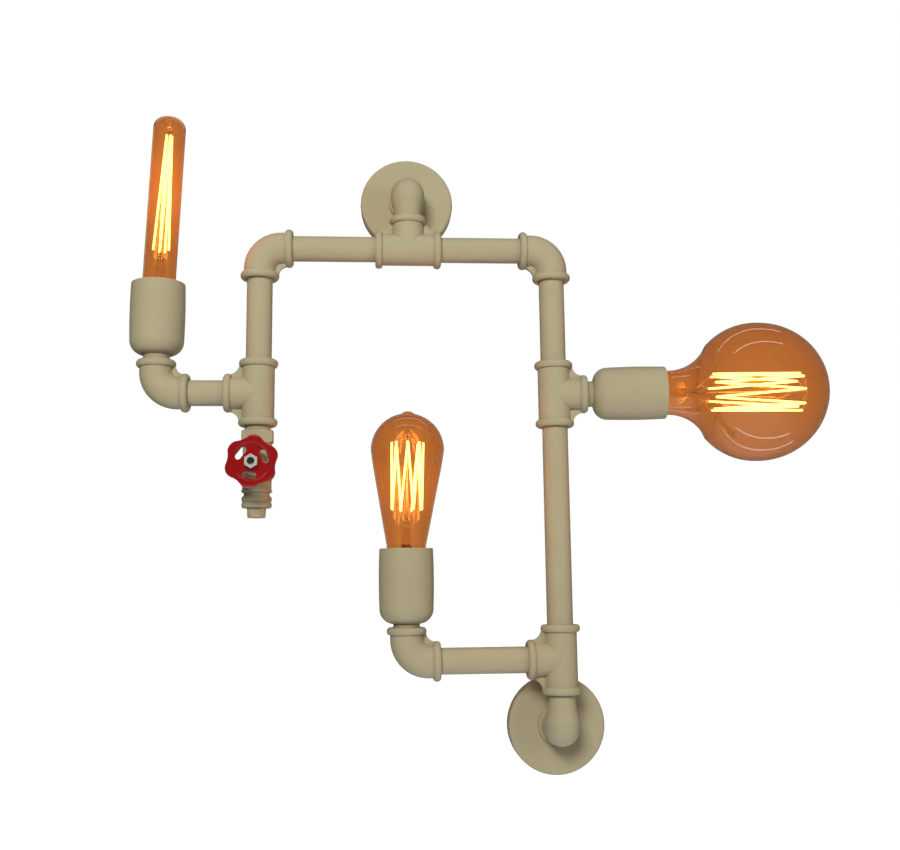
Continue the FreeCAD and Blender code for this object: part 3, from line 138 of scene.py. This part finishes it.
def cage_middle(lamp):
    """Halfway up a filament's cage, in its glass's own frame."""
    return Vector((0, 0, sum(lamp["cage"]) / 2))


# The camera, as found by matching the photo: lens and place in millimetres; yaw, pitch and roll in radians.
LENS = 42.502
CAMERA_PLACE = Vector((-28.98692, -922.60282, -334.11798))
CAMERA_TURN = (0.0718, 0.14672, -0.01178)

# The stage, in metres: the floor, what the lights aim at and the size of each bulb's own light.
FLOOR_Z = -1.3
FLOOR_SIZE = 60
AIM = (0, -0.04, -0.23)
BULB_LIGHT_RADIUS = 0.012
WHITE = (1.0, 1.0, 1.0, 1.0)

# Width of the paint's faint lighter and darker patches, in millimetres.
PATCH_SIZE = 1000 / 22

# Lights: name, place, size, share of the key light's power, and whether it shows in reflections.
# The long strips above and below leave the thin arcs on the globe.
STRIP = (1.6, 0.05)
LIGHTS = (
    ("Key", (-0.35, -1.5, 0.35), (0.5, 0.5), 1.0, False),
    ("Fill", (1.0, -1.1, -0.1), (0.4, 0.8), 0.2, False),
    ("Back", (0.3, 1.4, -0.1), (1.0, 0.8), 0.5, False),
    ("Upper strip", (0.15, -0.35, 1.1), STRIP, 0.05, True),
    ("Lower strip", (0.15, -0.1, -1.2), STRIP, 0.05, True),
    ("Upper back strip", (0.15, 0.45, 1.0), STRIP, 0.03, True),
    ("Lower back strip", (0.15, 0.35, -1.0), STRIP, 0.03, True),
)


# ---------------------------------------------------------------- settings


class FinishSettings(bpy.types.PropertyGroup):
    paint: bpy.props.StringProperty(
        name="Pipe paint",
        description="Colour of the pipes, fittings, plates and cups, as hex",
        default="ACA281",
    )
    enamel: bpy.props.StringProperty(
        name="Handwheel enamel", description="Colour of the handwheel, as hex", default="8C0709"
    )
    glass: bpy.props.StringProperty(
        name="Bulb glass",
        description="Tint of light that passes one wall of a bulb, as hex",
        default="DCAA72",
    )
    grain: bpy.props.FloatProperty(
        name="Paint grain",
        description="Width of the paint's orange peel",
        default=0.0007,
        min=0.0001,
        max=0.005,
        precision=5,
        unit="LENGTH",
    )


class ThreadSettings(bpy.types.PropertyGroup):
    pipe_pitch: bpy.props.FloatProperty(
        name="Pipe thread pitch",
        description="From ridge to ridge on the necks",
        default=0.00181,
        min=0.0005,
        max=0.005,
        precision=5,
        unit="LENGTH",
    )
    cap_pitch: bpy.props.FloatProperty(
        name="Cap thread pitch",
        description="From ridge to ridge on the bulbs' caps",
        default=0.003629,
        min=0.001,
        max=0.006,
        precision=6,
        unit="LENGTH",
    )
    cap_turns: bpy.props.IntProperty(
        name="Cap thread turns", description="Ridges on each bulb's cap", default=5, min=1, max=7
    )


class GlowSettings(bpy.types.PropertyGroup):
    wire: bpy.props.FloatProperty(
        name="Filament wire",
        description="Thickness of the glowing wire, with its glare",
        default=0.0018,
        min=0.0002,
        max=0.003,
        precision=5,
        unit="LENGTH",
    )
    # Strength of the painted glow: emission put on the glass near the filament, which stands in for the
    # filament's light in the glass.
    haze: bpy.props.FloatProperty(
        name="Painted glow in the glass",
        description="Strength of the glow painted on the glass beside the filament",
        default=0.22,
        min=0.0,
        max=4.0,
    )
    strength: bpy.props.FloatProperty(
        name="Filament glow", description="Strength of the wire's light", default=10.0, min=0.0, max=200.0
    )
    warmth: bpy.props.StringProperty(
        name="Filament colour", description="Colour of the wire's light, as hex", default="FFE0A0"
    )


class StudioSettings(bpy.types.PropertyGroup):
    backdrop: bpy.props.FloatProperty(
        name="Backdrop", description="Brightness of the backdrop as seen", default=1.0, min=0.0, max=4.0
    )
    ambient: bpy.props.FloatProperty(
        name="Ambient light", description="Light from all round on the part", default=0.08, min=0.0, max=4.0
    )
    key: bpy.props.FloatProperty(
        name="Key light",
        description="Power of the main light",
        default=24.0,
        min=0.0,
        max=200.0,
        unit="POWER",
    )
    glow: bpy.props.FloatProperty(
        name="Bulb light",
        description="Power of the warm light that each bulb throws",
        default=0.5,
        min=0.0,
        max=20.0,
        unit="POWER",
    )


# ---------------------------------------------------------------- materials


def linear(code):
    """A six-digit sRGB colour as linear RGBA."""
    parts = [int(code[i : i + 2], 16) / 255 for i in (0, 2, 4)]
    return tuple(c / 12.92 if c <= 0.04045 else ((c + 0.055) / 1.055) ** 2.4 for c in parts) + (1.0,)


def add_node(tree, kind, links=None, **values):
    """A node with its sockets set to values and fed by links."""
    node = tree.nodes.new(kind)
    for name, value in values.items():
        if hasattr(node, name):
            setattr(node, name, value)
        else:
            node.inputs[name.replace("_", " ")].default_value = value
    for name, source in (links or {}).items():
        tree.links.new(source, node.inputs[name])
    return node


def new_material(name, colour, **sockets):
    """A principled material; sockets are its own inputs by name."""
    material = bpy.data.materials.new(name)
    material.use_nodes = True
    shader = material.node_tree.nodes["Principled BSDF"]
    shader.inputs["Base Color"].default_value = colour
    for socket, value in sockets.items():
        shader.inputs[socket.replace("_", " ")].default_value = value
    material.diffuse_color = colour
    return material, material.node_tree, shader


def grain(material, tree, shader, size_mm, depth, tone=0.0, colour=None):
    """Fine relief, and a faint change of tone, in the object's own coordinates."""
    place = add_node(tree, "ShaderNodeTexCoord")
    where = {"Vector": place.outputs["Object"]}
    noise = add_node(tree, "ShaderNodeTexNoise", where, Scale=1 / (size_mm * MM), Detail=3.0)
    height = {"Height": noise.outputs["Fac"]}
    bump = add_node(tree, "ShaderNodeBump", height, Strength=depth, Distance=size_mm * MM * 0.2)
    tree.links.new(bump.outputs["Normal"], shader.inputs["Normal"])
    if tone:
        patch = add_node(tree, "ShaderNodeTexNoise", where, Scale=1 / (PATCH_SIZE * MM), Detail=2.0)
        dark = tuple(c * (1 - tone) for c in colour[:3]) + (1.0,)
        mix = add_node(tree, "ShaderNodeMix", data_type="RGBA")
        tree.links.new(patch.outputs["Fac"], mix.inputs["Factor"])
        mix.inputs[6].default_value = dark
        mix.inputs[7].default_value = colour
        tree.links.new(mix.outputs[2], shader.inputs["Base Color"])
    return material


def glass(name, code, lamp=None, haze=0.0):
    """Thin glass that passes tinted light, with the filament's glow painted on it as emission around the
    middle of a lamp's cage.
    """
    material, tree, shader = new_material(name, linear(code), Roughness=0.0, IOR=1.5, Transmission_Weight=1.0)
    if lamp:
        edge = add_node(tree, "ShaderNodeLayerWeight", Blend=0.25)
        tint = add_node(tree, "ShaderNodeMix", {"Factor": edge.outputs["Facing"]}, data_type="RGBA")
        tint.inputs[6].default_value = linear(code)
        tint.inputs[7].default_value = tuple(c**3 for c in linear(code)[:3]) + (1.0,)
        tree.links.new(tint.outputs[2], shader.inputs["Base Color"])
        # Painted glow: the glass itself emits, strongest at the filament's middle and fading out over the
        # reach. It stands in for the filament's light seen in the glass.
        foot, turn = glass_frame(lamp)
        centre = (foot + turn @ cage_middle(lamp)) * MM
        place = add_node(tree, "ShaderNodeTexCoord")
        offset = add_node(tree, "ShaderNodeVectorMath", {0: place.outputs["Object"]}, operation="SUBTRACT")
        offset.inputs[1].default_value = centre
        reach = add_node(tree, "ShaderNodeVectorMath", {0: offset.outputs["Vector"]}, operation="DIVIDE")
        reach.inputs[1].default_value = Vector(lamp["haze"]) * MM
        far = add_node(tree, "ShaderNodeVectorMath", {0: reach.outputs["Vector"]}, operation="LENGTH")
        distance = {"Value": far.outputs["Value"]}
        near = add_node(tree, "ShaderNodeMapRange", distance, To_Min=haze, To_Max=0.0)
        near.interpolation_type = "SMOOTHSTEP"
        tree.links.new(near.outputs["Result"], shader.inputs["Emission Strength"])
        shader.inputs["Emission Color"].default_value = linear("FF8A2A")
    see_through = add_node(tree, "ShaderNodeBsdfTransparent", Color=linear(code))
    path = add_node(tree, "ShaderNodeLightPath")
    both = add_node(tree, "ShaderNodeMixShader")
    tree.links.new(path.outputs["Is Shadow Ray"], both.inputs["Fac"])
    tree.links.new(shader.outputs["BSDF"], both.inputs[1])
    tree.links.new(see_through.outputs["BSDF"], both.inputs[2])
    tree.links.new(both.outputs["Shader"], tree.nodes["Material Output"].inputs["Surface"])
    return material


def make_materials(finish, glow):
    """Every finish, by the record's slot name."""
    made = {}
    # Powder-coat paint, sprayed and baked on iron: a soft sheen, orange peel under a millimetre across and
    # faint patches where it lies thicker.
    paint = linear(finish.paint)
    coat = {"Coat_Weight": 0.12, "Coat_Roughness": 0.3}
    parts = new_material("Powder-coat paint, beige", paint, Roughness=0.46, **coat)
    made["beige_paint"] = grain(*parts, finish.grain / MM, 0.25, 0.16, paint)
    # Stove enamel, dipped on a cast iron wheel: a deep gloss with slow waves of the casting under it.
    coat = {"Coat_Weight": 0.8, "Coat_Roughness": 0.06}
    parts = new_material("Gloss enamel, red", linear(finish.enamel), Roughness=0.18, **coat)
    made["red_paint"] = grain(*parts, 4.0, 0.05)
    # Dull zinc plating on pressed steel, and the brighter plating of the wheel's nut; both brushed at a
    # third of a millimetre.
    parts = new_material("Zinc-plated steel", linear("B4B8BC"), Metallic=0.75, Roughness=0.34)
    made["zinc_plated_steel"] = grain(*parts, 0.35, 0.1)
    parts = new_material("Bright steel", linear("E2E2DC"), Metallic=0.55, Roughness=0.26)
    made["bright_steel"] = grain(*parts, 0.3, 0.08)
    # Brass: rolled and bright in the holders' shells and the bulbs' caps, turned and dull in the valve.
    for slot_name, name, code, rough in (
        ("brass", "Rolled brass, holder shells", "D2AE62", 0.3),
        ("cap_brass", "Rolled brass, bulb caps", "D8B56B", 0.28),
        ("stem_brass", "Turned brass, valve stem and gate", "8F8A6C", 0.45),
    ):
        parts = new_material(name, linear(code), Metallic=1.0, Roughness=rough)
        made[slot_name] = grain(*parts, 0.4, 0.08)
    # Glazed porcelain of the holders and the cement of the caps: warm white under a clear glaze.
    parts = new_material("Glazed porcelain", linear("EDEAE0"), Roughness=0.15, Coat_Weight=0.5)
    made["white_ceramic"] = parts[0]
    # Pressed black glass of the caps' insulators: smooth and almost mirror-like.
    made["cap_insulator"] = new_material("Black cap glass", linear("14120F"), Roughness=0.12)[0]
    # Woven sheath of the leads: matt, with half-millimetre threads that show as a rough grain.
    parts = new_material("Woven lead sheath", linear("26221E"), Roughness=0.85)
    made["lead_sheath"] = grain(*parts, 0.5, 0.5)
    # Moulded nylon of the terminal block: milky and half matt.
    parts = new_material("Nylon, white", linear("DAD8D0"), Roughness=0.5, Subsurface_Weight=0.05)
    made["block_plastic"] = parts[0]
    # Soda glass with an amber lustre, 0.9 mm thick, that deepens towards its edge and has a painted glow near
    # the filament, emission that stands in for the filament's light; and the clear lead glass of the stems.
    for bulb, lamp in LAMPS.items():
        made["amber_glass_" + bulb] = glass("Amber glass, " + bulb, finish.glass, lamp, glow.haze)
    made["clear_glass"] = glass("Clear glass", "F4E6CC")
    # Carbon filament at about 2000 K: a yellow-white line, drawn thicker than the wire for its glare.
    hot = linear(glow.warmth)
    material = new_material("Glowing filament", hot, Emission_Color=hot, Emission_Strength=glow.strength)[0]
    made["glowing_filament"] = material
    return made


MADE = {}


def dress(item, slot_name, body):
    """Give a new piece its finish and its body."""
    item.data.materials.clear()
    item.data.materials.append(MADE[slot_name])
    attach(item, body)


def smooth(item, degrees=35):
    """Round faces shade smoothly and edges stay crisp."""
    only(item)
    bpy.ops.object.shade_smooth_by_angle(angle=math.radians(degrees))


def only(item):
    """Select this piece alone and make it the active one."""
    bpy.ops.object.select_all(action="DESELECT")
    item.select_set(True)
    bpy.context.view_layer.objects.active = item


def settle(name):
    """The active piece gets its name and sits at the origin."""
    item = bpy.context.view_layer.objects.active
    item.name = name
    bpy.ops.object.transform_apply(location=True, rotation=True, scale=True)
    return item


# ---------------------------------------------------------------- operators


class WALLLIGHT_OT_finishes(bpy.types.Operator):
    """Paint, plating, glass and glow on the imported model"""

    bl_idname = "walllight.finishes"
    bl_label = "Finishes"
    bl_options = {"REGISTER", "UNDO"}

    def execute(self, context):
        MADE.update(make_materials(context.scene.walllight_finish, context.scene.walllight_glow))
        for entry in frame["record"]["subparts"]:
            item = frame["nodes"][entry["node"]]
            item.data.materials.clear()
            slot_name = entry["material_slot"]
            if slot_name == "amber_glass":
                slot_name += "_" + entry["node"].split("_")[0]
            item.data.materials.append(MADE[slot_name])
        return {"FINISHED"}


def ring_stack(name, foot, turn, radius, thick, count, pitch):
    """Rounded ridges at an even pitch along an axis."""
    bpy.ops.object.select_all(action="DESELECT")
    bpy.ops.mesh.primitive_torus_add(
        major_radius=radius * MM, minor_radius=thick * MM, major_segments=64, minor_segments=10
    )
    item = bpy.context.view_layer.objects.active
    array = item.modifiers.new("Pitch", "ARRAY")
    array.count = count
    array.use_relative_offset = False
    array.use_constant_offset = True
    array.constant_offset_displace = (0, 0, pitch * MM)
    bpy.ops.object.modifier_apply(modifier="Pitch")
    item.location = foot * MM
    item.rotation_euler = turn.to_euler()
    item = settle(name)
    smooth(item, 60)
    return item


class WALLLIGHT_OT_pipe_threads(bpy.types.Operator):
    """Painted-over thread ridges where a close nipple shows"""

    bl_idname = "walllight.pipe_threads"
    bl_label = "Pipe threads"
    bl_options = {"REGISTER", "UNDO"}

    def execute(self, context):
        pitch = context.scene.walllight_thread.pipe_pitch / MM
        spots = [
            (lamp["side"] + "_neck_thread", lamp["centre"], lamp["turn"], lamp["neck"])
            for lamp in LAMPS.values()
        ]
        spots.append(("valve_neck_thread", VALVE_NECK["centre"], DOWNWARD, VALVE_NECK["span"]))
        radius, ridge = PIPE_THREAD["radius"], PIPE_THREAD["ridge"]
        for name, centre, turn, (low, high) in spots:
            count = max(1, int((high - low - PIPE_THREAD["margin"]) / pitch) + 1)
            start = (low + high) / 2 - pitch * (count - 1) / 2
            foot = centre + turn @ Vector((0, 0, start))
            item = ring_stack(name, foot, turn, radius, ridge, count, pitch)
            dress(item, "beige_paint", "light_frame")
        return {"FINISHED"}


class WALLLIGHT_OT_cap_threads(bpy.types.Operator):
    """The rolled screw and the cement ring of each bulb's cap"""

    bl_idname = "walllight.cap_threads"
    bl_label = "Cap threads"
    bl_options = {"REGISTER", "UNDO"}

    def execute(self, context):
        thread = context.scene.walllight_thread
        for bulb, lamp in LAMPS.items():
            foot = along(lamp, lamp["cap"] + CAP_THREAD["start"])
            form = (CAP_THREAD["radius"], CAP_THREAD["ridge"], thread.cap_turns, thread.cap_pitch / MM)
            item = ring_stack(bulb + "_cap_thread", foot, lamp["turn"], *form)
            dress(item, "cap_brass", bulb + "_bulb")
            rim = along(lamp, lamp["cap"] + CAP_HEIGHT + CEMENT_RING["above"])
            form = (CEMENT_RING["radius"], CEMENT_RING["ridge"], 1, 1.0)
            cement = ring_stack(bulb + "_cement_ring", rim, lamp["turn"], *form)
            dress(cement, "white_ceramic", bulb + "_bulb")
        return {"FINISHED"}


def wire(name, start, stop, diameter):
    """A straight thin wire between two points, in millimetres."""
    way = stop - start
    bpy.ops.object.select_all(action="DESELECT")
    bpy.ops.mesh.primitive_cylinder_add(
        vertices=10,
        radius=diameter / 2 * MM,
        depth=way.length * MM,
        location=(start + stop) / 2 * MM,
        rotation=way.to_track_quat("Z", "Y").to_euler(),
    )
    return settle(name)


def joined(items, name):
    """Several pieces made one."""
    bpy.ops.object.select_all(action="DESELECT")
    for item in items:
        item.select_set(True)
    bpy.context.view_layer.objects.active = items[0]
    bpy.ops.object.join()
    items[0].name = name
    return items[0]


def hooks(lamp):
    """Where the wire turns, in order: up and down round an oval, on slanting strands."""
    low, high = lamp["cage"]
    low_r, high_r, squash, strands = lamp["oval"]
    points = []
    for step in range(strands + 1):
        angle = CAGE_START + CAGE_SWEEP * step / strands
        radius, height = (low_r, low) if step % 2 == 0 else (high_r, high)
        points.append(Vector((radius * math.cos(angle), squash * radius * math.sin(angle), height)))
    return points


def round_wire(name, points, diameter):
    """A wire through these points with rounded turns, in millimetres."""
    curve = bpy.data.curves.new(name, "CURVE")
    curve.dimensions = "3D"
    curve.bevel_depth = diameter / 2 * MM
    curve.bevel_resolution = 2
    curve.use_fill_caps = True
    way = [points[0]]
    for before, here, after in zip(points, points[1:], points[2:]):
        start = here + (before - here).normalized() * min(HOOK_TURN, (before - here).length / 2)
        stop = here + (after - here).normalized() * min(HOOK_TURN, (after - here).length / 2)
        for share in (0.0, 0.25, 0.5, 0.75, 1.0):
            way.append(start * (1 - share) ** 2 + here * 2 * share * (1 - share) + stop * share**2)
    way.append(points[-1])
    line = curve.splines.new("POLY")
    line.points.add(len(way) - 1)
    for point, spot in zip(line.points, way):
        point.co = (*(spot * MM), 1.0)
    item = bpy.data.objects.new(name, curve)
    COLLECTION.objects.link(item)
    only(item)
    bpy.ops.object.convert(target="MESH")
    item = settle(name)
    smooth(item, 60)
    return item


class WALLLIGHT_OT_filaments(bpy.types.Operator):
    """Glowing wire on slanting strands, hooked over steel supports"""

    bl_idname = "walllight.filaments"
    bl_label = "Filaments"
    bl_options = {"REGISTER", "UNDO"}

    def execute(self, context):
        glow = context.scene.walllight_glow
        for bulb, lamp in LAMPS.items():
            foot, turn = glass_frame(lamp)
            way = [foot + turn @ spot for spot in hooks(lamp)]
            item = round_wire(bulb + "_filament_wire", way, glow.wire / MM)
            dress(item, "glowing_filament", bulb + "_bulb")
            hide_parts(bulb + "_bulb_filament")
        return {"FINISHED"}


class WALLLIGHT_OT_filament_supports(bpy.types.Operator):
    """Fine steel wires that hold each filament's turns from a glass button"""

    bl_idname = "walllight.filament_supports"
    bl_label = "Filament supports"
    bl_options = {"REGISTER", "UNDO"}

    def execute(self, context):
        for bulb, lamp in LAMPS.items():
            foot, turn = glass_frame(lamp)
            low, high = lamp["cage"]
            press = lamp["press"]
            button = Vector((0, 0, high + BUTTON_ABOVE))
            rod = wire("rod", foot + turn @ Vector((0, 0, press - 1)), foot + turn @ button, ROD_WIRE)
            parts = [rod]
            for side, end in ((-1, hooks(lamp)[0]), (1, hooks(lamp)[-1])):
                foothold = Vector((side * 2.0, 0, press - 2.5))
                knee = Vector((side * lamp["oval"][0] * 0.4, 1.5, (press + low) / 2))
                leads = [foot + turn @ spot for spot in (foothold, knee, end)]
                parts.append(round_wire("lead", leads, LEAD_WIRE))
            for spot in hooks(lamp)[1:-1]:
                inner = Vector((0, 0, press + 1)) if spot.z == low else button
                past = spot + (spot - inner).normalized() * 0.8
                parts.append(wire("hook", foot + turn @ inner, foot + turn @ past, HOOK_WIRE))
            item = joined(parts, bulb + "_filament_supports")
            dress(item, "zinc_plated_steel", bulb + "_bulb")
            bpy.ops.object.select_all(action="DESELECT")
            bpy.ops.mesh.primitive_uv_sphere_add(
                segments=20, ring_count=12, radius=BUTTON_RADIUS * MM, location=(foot + turn @ button) * MM
            )
            bead = bpy.context.view_layer.objects.active
            bead.scale = (1.0, 1.0, 0.75)
            bead = settle(bulb + "_glass_button")
            smooth(bead, 60)
            dress(bead, "clear_glass", bulb + "_bulb")
        return {"FINISHED"}


def area_light(name, place, size, power, mirrored):
    """A rectangle of soft light on the part, its long side level. It never shows as such."""
    light = bpy.data.lights.new(name, "AREA")
    light.shape = "RECTANGLE"
    light.size, light.size_y = size
    light.energy = power
    item = bpy.data.objects.new(name, light)
    COLLECTION.objects.link(item)
    item.location = place
    aim = (Vector(AIM) - Vector(place)).normalized()
    side = (Vector((1, 0, 0)) - aim * aim.x).normalized()
    item.rotation_euler = Matrix((side, side.cross(aim), -aim)).transposed().to_euler()
    item.visible_camera = False
    item.visible_transmission = False
    item.visible_glossy = mirrored


def bulb_light(bulb, lamp, power):
    """The warm light that a bulb throws on the paint near it."""
    foot, turn = glass_frame(lamp)
    warm = bpy.data.lights.new(bulb + "_glow", "POINT")
    warm.energy = power
    warm.color = linear("FF8434")[:3]
    warm.shadow_soft_size = BULB_LIGHT_RADIUS
    item = bpy.data.objects.new(bulb + "_glow", warm)
    COLLECTION.objects.link(item)
    item.location = (foot + turn @ cage_middle(lamp)) * MM
    item.visible_camera = item.visible_transmission = item.visible_glossy = False


def seen_directly(tree):
    """1 for what the camera sees, directly or through glass, and 0 for light that falls on the part."""
    path = add_node(tree, "ShaderNodeLightPath")
    seen = add_node(tree, "ShaderNodeMath", operation="MAXIMUM")
    tree.links.new(path.outputs["Is Camera Ray"], seen.inputs[0])
    tree.links.new(path.outputs["Is Transmission Ray"], seen.inputs[1])
    return seen.outputs[0]


def make_floor():
    """A pale plain floor, as bright as the backdrop to the camera, that throws no light on the part."""
    bpy.ops.object.select_all(action="DESELECT")
    bpy.ops.mesh.primitive_plane_add(size=FLOOR_SIZE, location=(0, 0, FLOOR_Z))
    floor = settle("Floor")
    pale, tree, shader = new_material("Pale floor", (0.9, 0.9, 0.9, 1.0), Roughness=1.0)
    shader.inputs["Emission Color"].default_value = WHITE
    tree.links.new(seen_directly(tree), shader.inputs["Emission Strength"])
    floor.data.materials.append(pale)


def make_backdrop(scene, ambient, brightness):
    """A plain world: bright where the camera sees it and dim as a light, so that forms show."""
    world = scene.world or bpy.data.worlds.new("World")
    scene.world = world
    world.use_nodes = True
    tree = world.node_tree
    background = tree.nodes.get("Background") or tree.nodes.new("ShaderNodeBackground")
    background.inputs["Color"].default_value = WHITE
    seen = {"Value": seen_directly(tree)}
    level = add_node(tree, "ShaderNodeMapRange", seen, To_Min=ambient, To_Max=brightness)
    tree.links.new(level.outputs["Result"], background.inputs["Strength"])


def make_camera(scene):
    """The photo's own viewpoint."""
    camera_data = bpy.data.cameras.new("Camera")
    camera_data.sensor_width = 36.0
    camera_data.lens = LENS
    camera_data.clip_start = 0.01
    camera_data.dof.use_dof = False
    camera = bpy.data.objects.new("Camera", camera_data)
    COLLECTION.objects.link(camera)
    yaw, pitch, roll = CAMERA_TURN
    forward = Vector((math.sin(yaw) * math.cos(pitch), math.cos(yaw) * math.cos(pitch), math.sin(pitch)))
    right = Vector((math.cos(yaw), -math.sin(yaw), 0.0))
    up = right.cross(forward)
    side = right * math.cos(roll) + up * math.sin(roll)
    top = up * math.cos(roll) - right * math.sin(roll)
    turn = Matrix((side, top, -forward)).transposed().to_4x4()
    camera.matrix_world = Matrix.Translation(CAMERA_PLACE * MM) @ turn
    scene.camera = camera
    scene.view_settings.view_transform = "Standard"


class WALLLIGHT_OT_studio(bpy.types.Operator):
    """Floor, soft light and the camera"""

    bl_idname = "walllight.studio"
    bl_label = "Studio"
    bl_options = {"REGISTER", "UNDO"}

    def execute(self, context):
        scene = context.scene
        studio = scene.walllight_studio
        make_floor()
        make_backdrop(scene, studio.ambient, studio.backdrop)
        for name, place, size, share, mirrored in LIGHTS:
            area_light(name, place, size, studio.key * share, mirrored)
        for bulb, lamp in LAMPS.items():
            bulb_light(bulb, lamp, studio.glow)
        make_camera(scene)
        return {"FINISHED"}


class WALLLIGHT_PT_panel(bpy.types.Panel):
    bl_label = "Wall light"
    bl_idname = "WALLLIGHT_PT_panel"
    bl_space_type = "VIEW_3D"
    bl_region_type = "UI"
    bl_category = "Wall light"

    def draw(self, context):
        layout = self.layout
        for label, operators in SECTIONS:
            column = layout.column(align=True)
            column.label(text=label)
            for operator in operators:
                column.operator(operator.bl_idname)
        for settings in SETTINGS:
            group = getattr(context.scene, settings)
            for name in group.__annotations__:
                layout.prop(group, name)


SETTINGS = {
    "walllight_finish": FinishSettings,
    "walllight_thread": ThreadSettings,
    "walllight_glow": GlowSettings,
    "walllight_studio": StudioSettings,
}
STEPS = (
    WALLLIGHT_OT_finishes,
    WALLLIGHT_OT_pipe_threads,
    WALLLIGHT_OT_cap_threads,
    WALLLIGHT_OT_filaments,
    WALLLIGHT_OT_filament_supports,
    WALLLIGHT_OT_studio,
)
SECTIONS = (("Pieces", STEPS[:-1]), ("Stage", STEPS[-1:]))


def register():
    for item in (*SETTINGS.values(), *STEPS, WALLLIGHT_PT_panel):
        bpy.utils.register_class(item)
    for name, kind in SETTINGS.items():
        setattr(bpy.types.Scene, name, bpy.props.PointerProperty(type=kind))


def unregister():
    for name in SETTINGS:
        delattr(bpy.types.Scene, name)
    for item in (WALLLIGHT_PT_panel, *reversed(STEPS), *reversed(list(SETTINGS.values()))):
        bpy.utils.unregister_class(item)


def main():
    register()
    bpy.ops.walllight.finishes()
    bpy.ops.walllight.pipe_threads()
    bpy.ops.walllight.cap_threads()
    bpy.ops.walllight.filaments()
    bpy.ops.walllight.filament_supports()
    bpy.ops.walllight.studio()


if __name__ == "__main__":
    main()
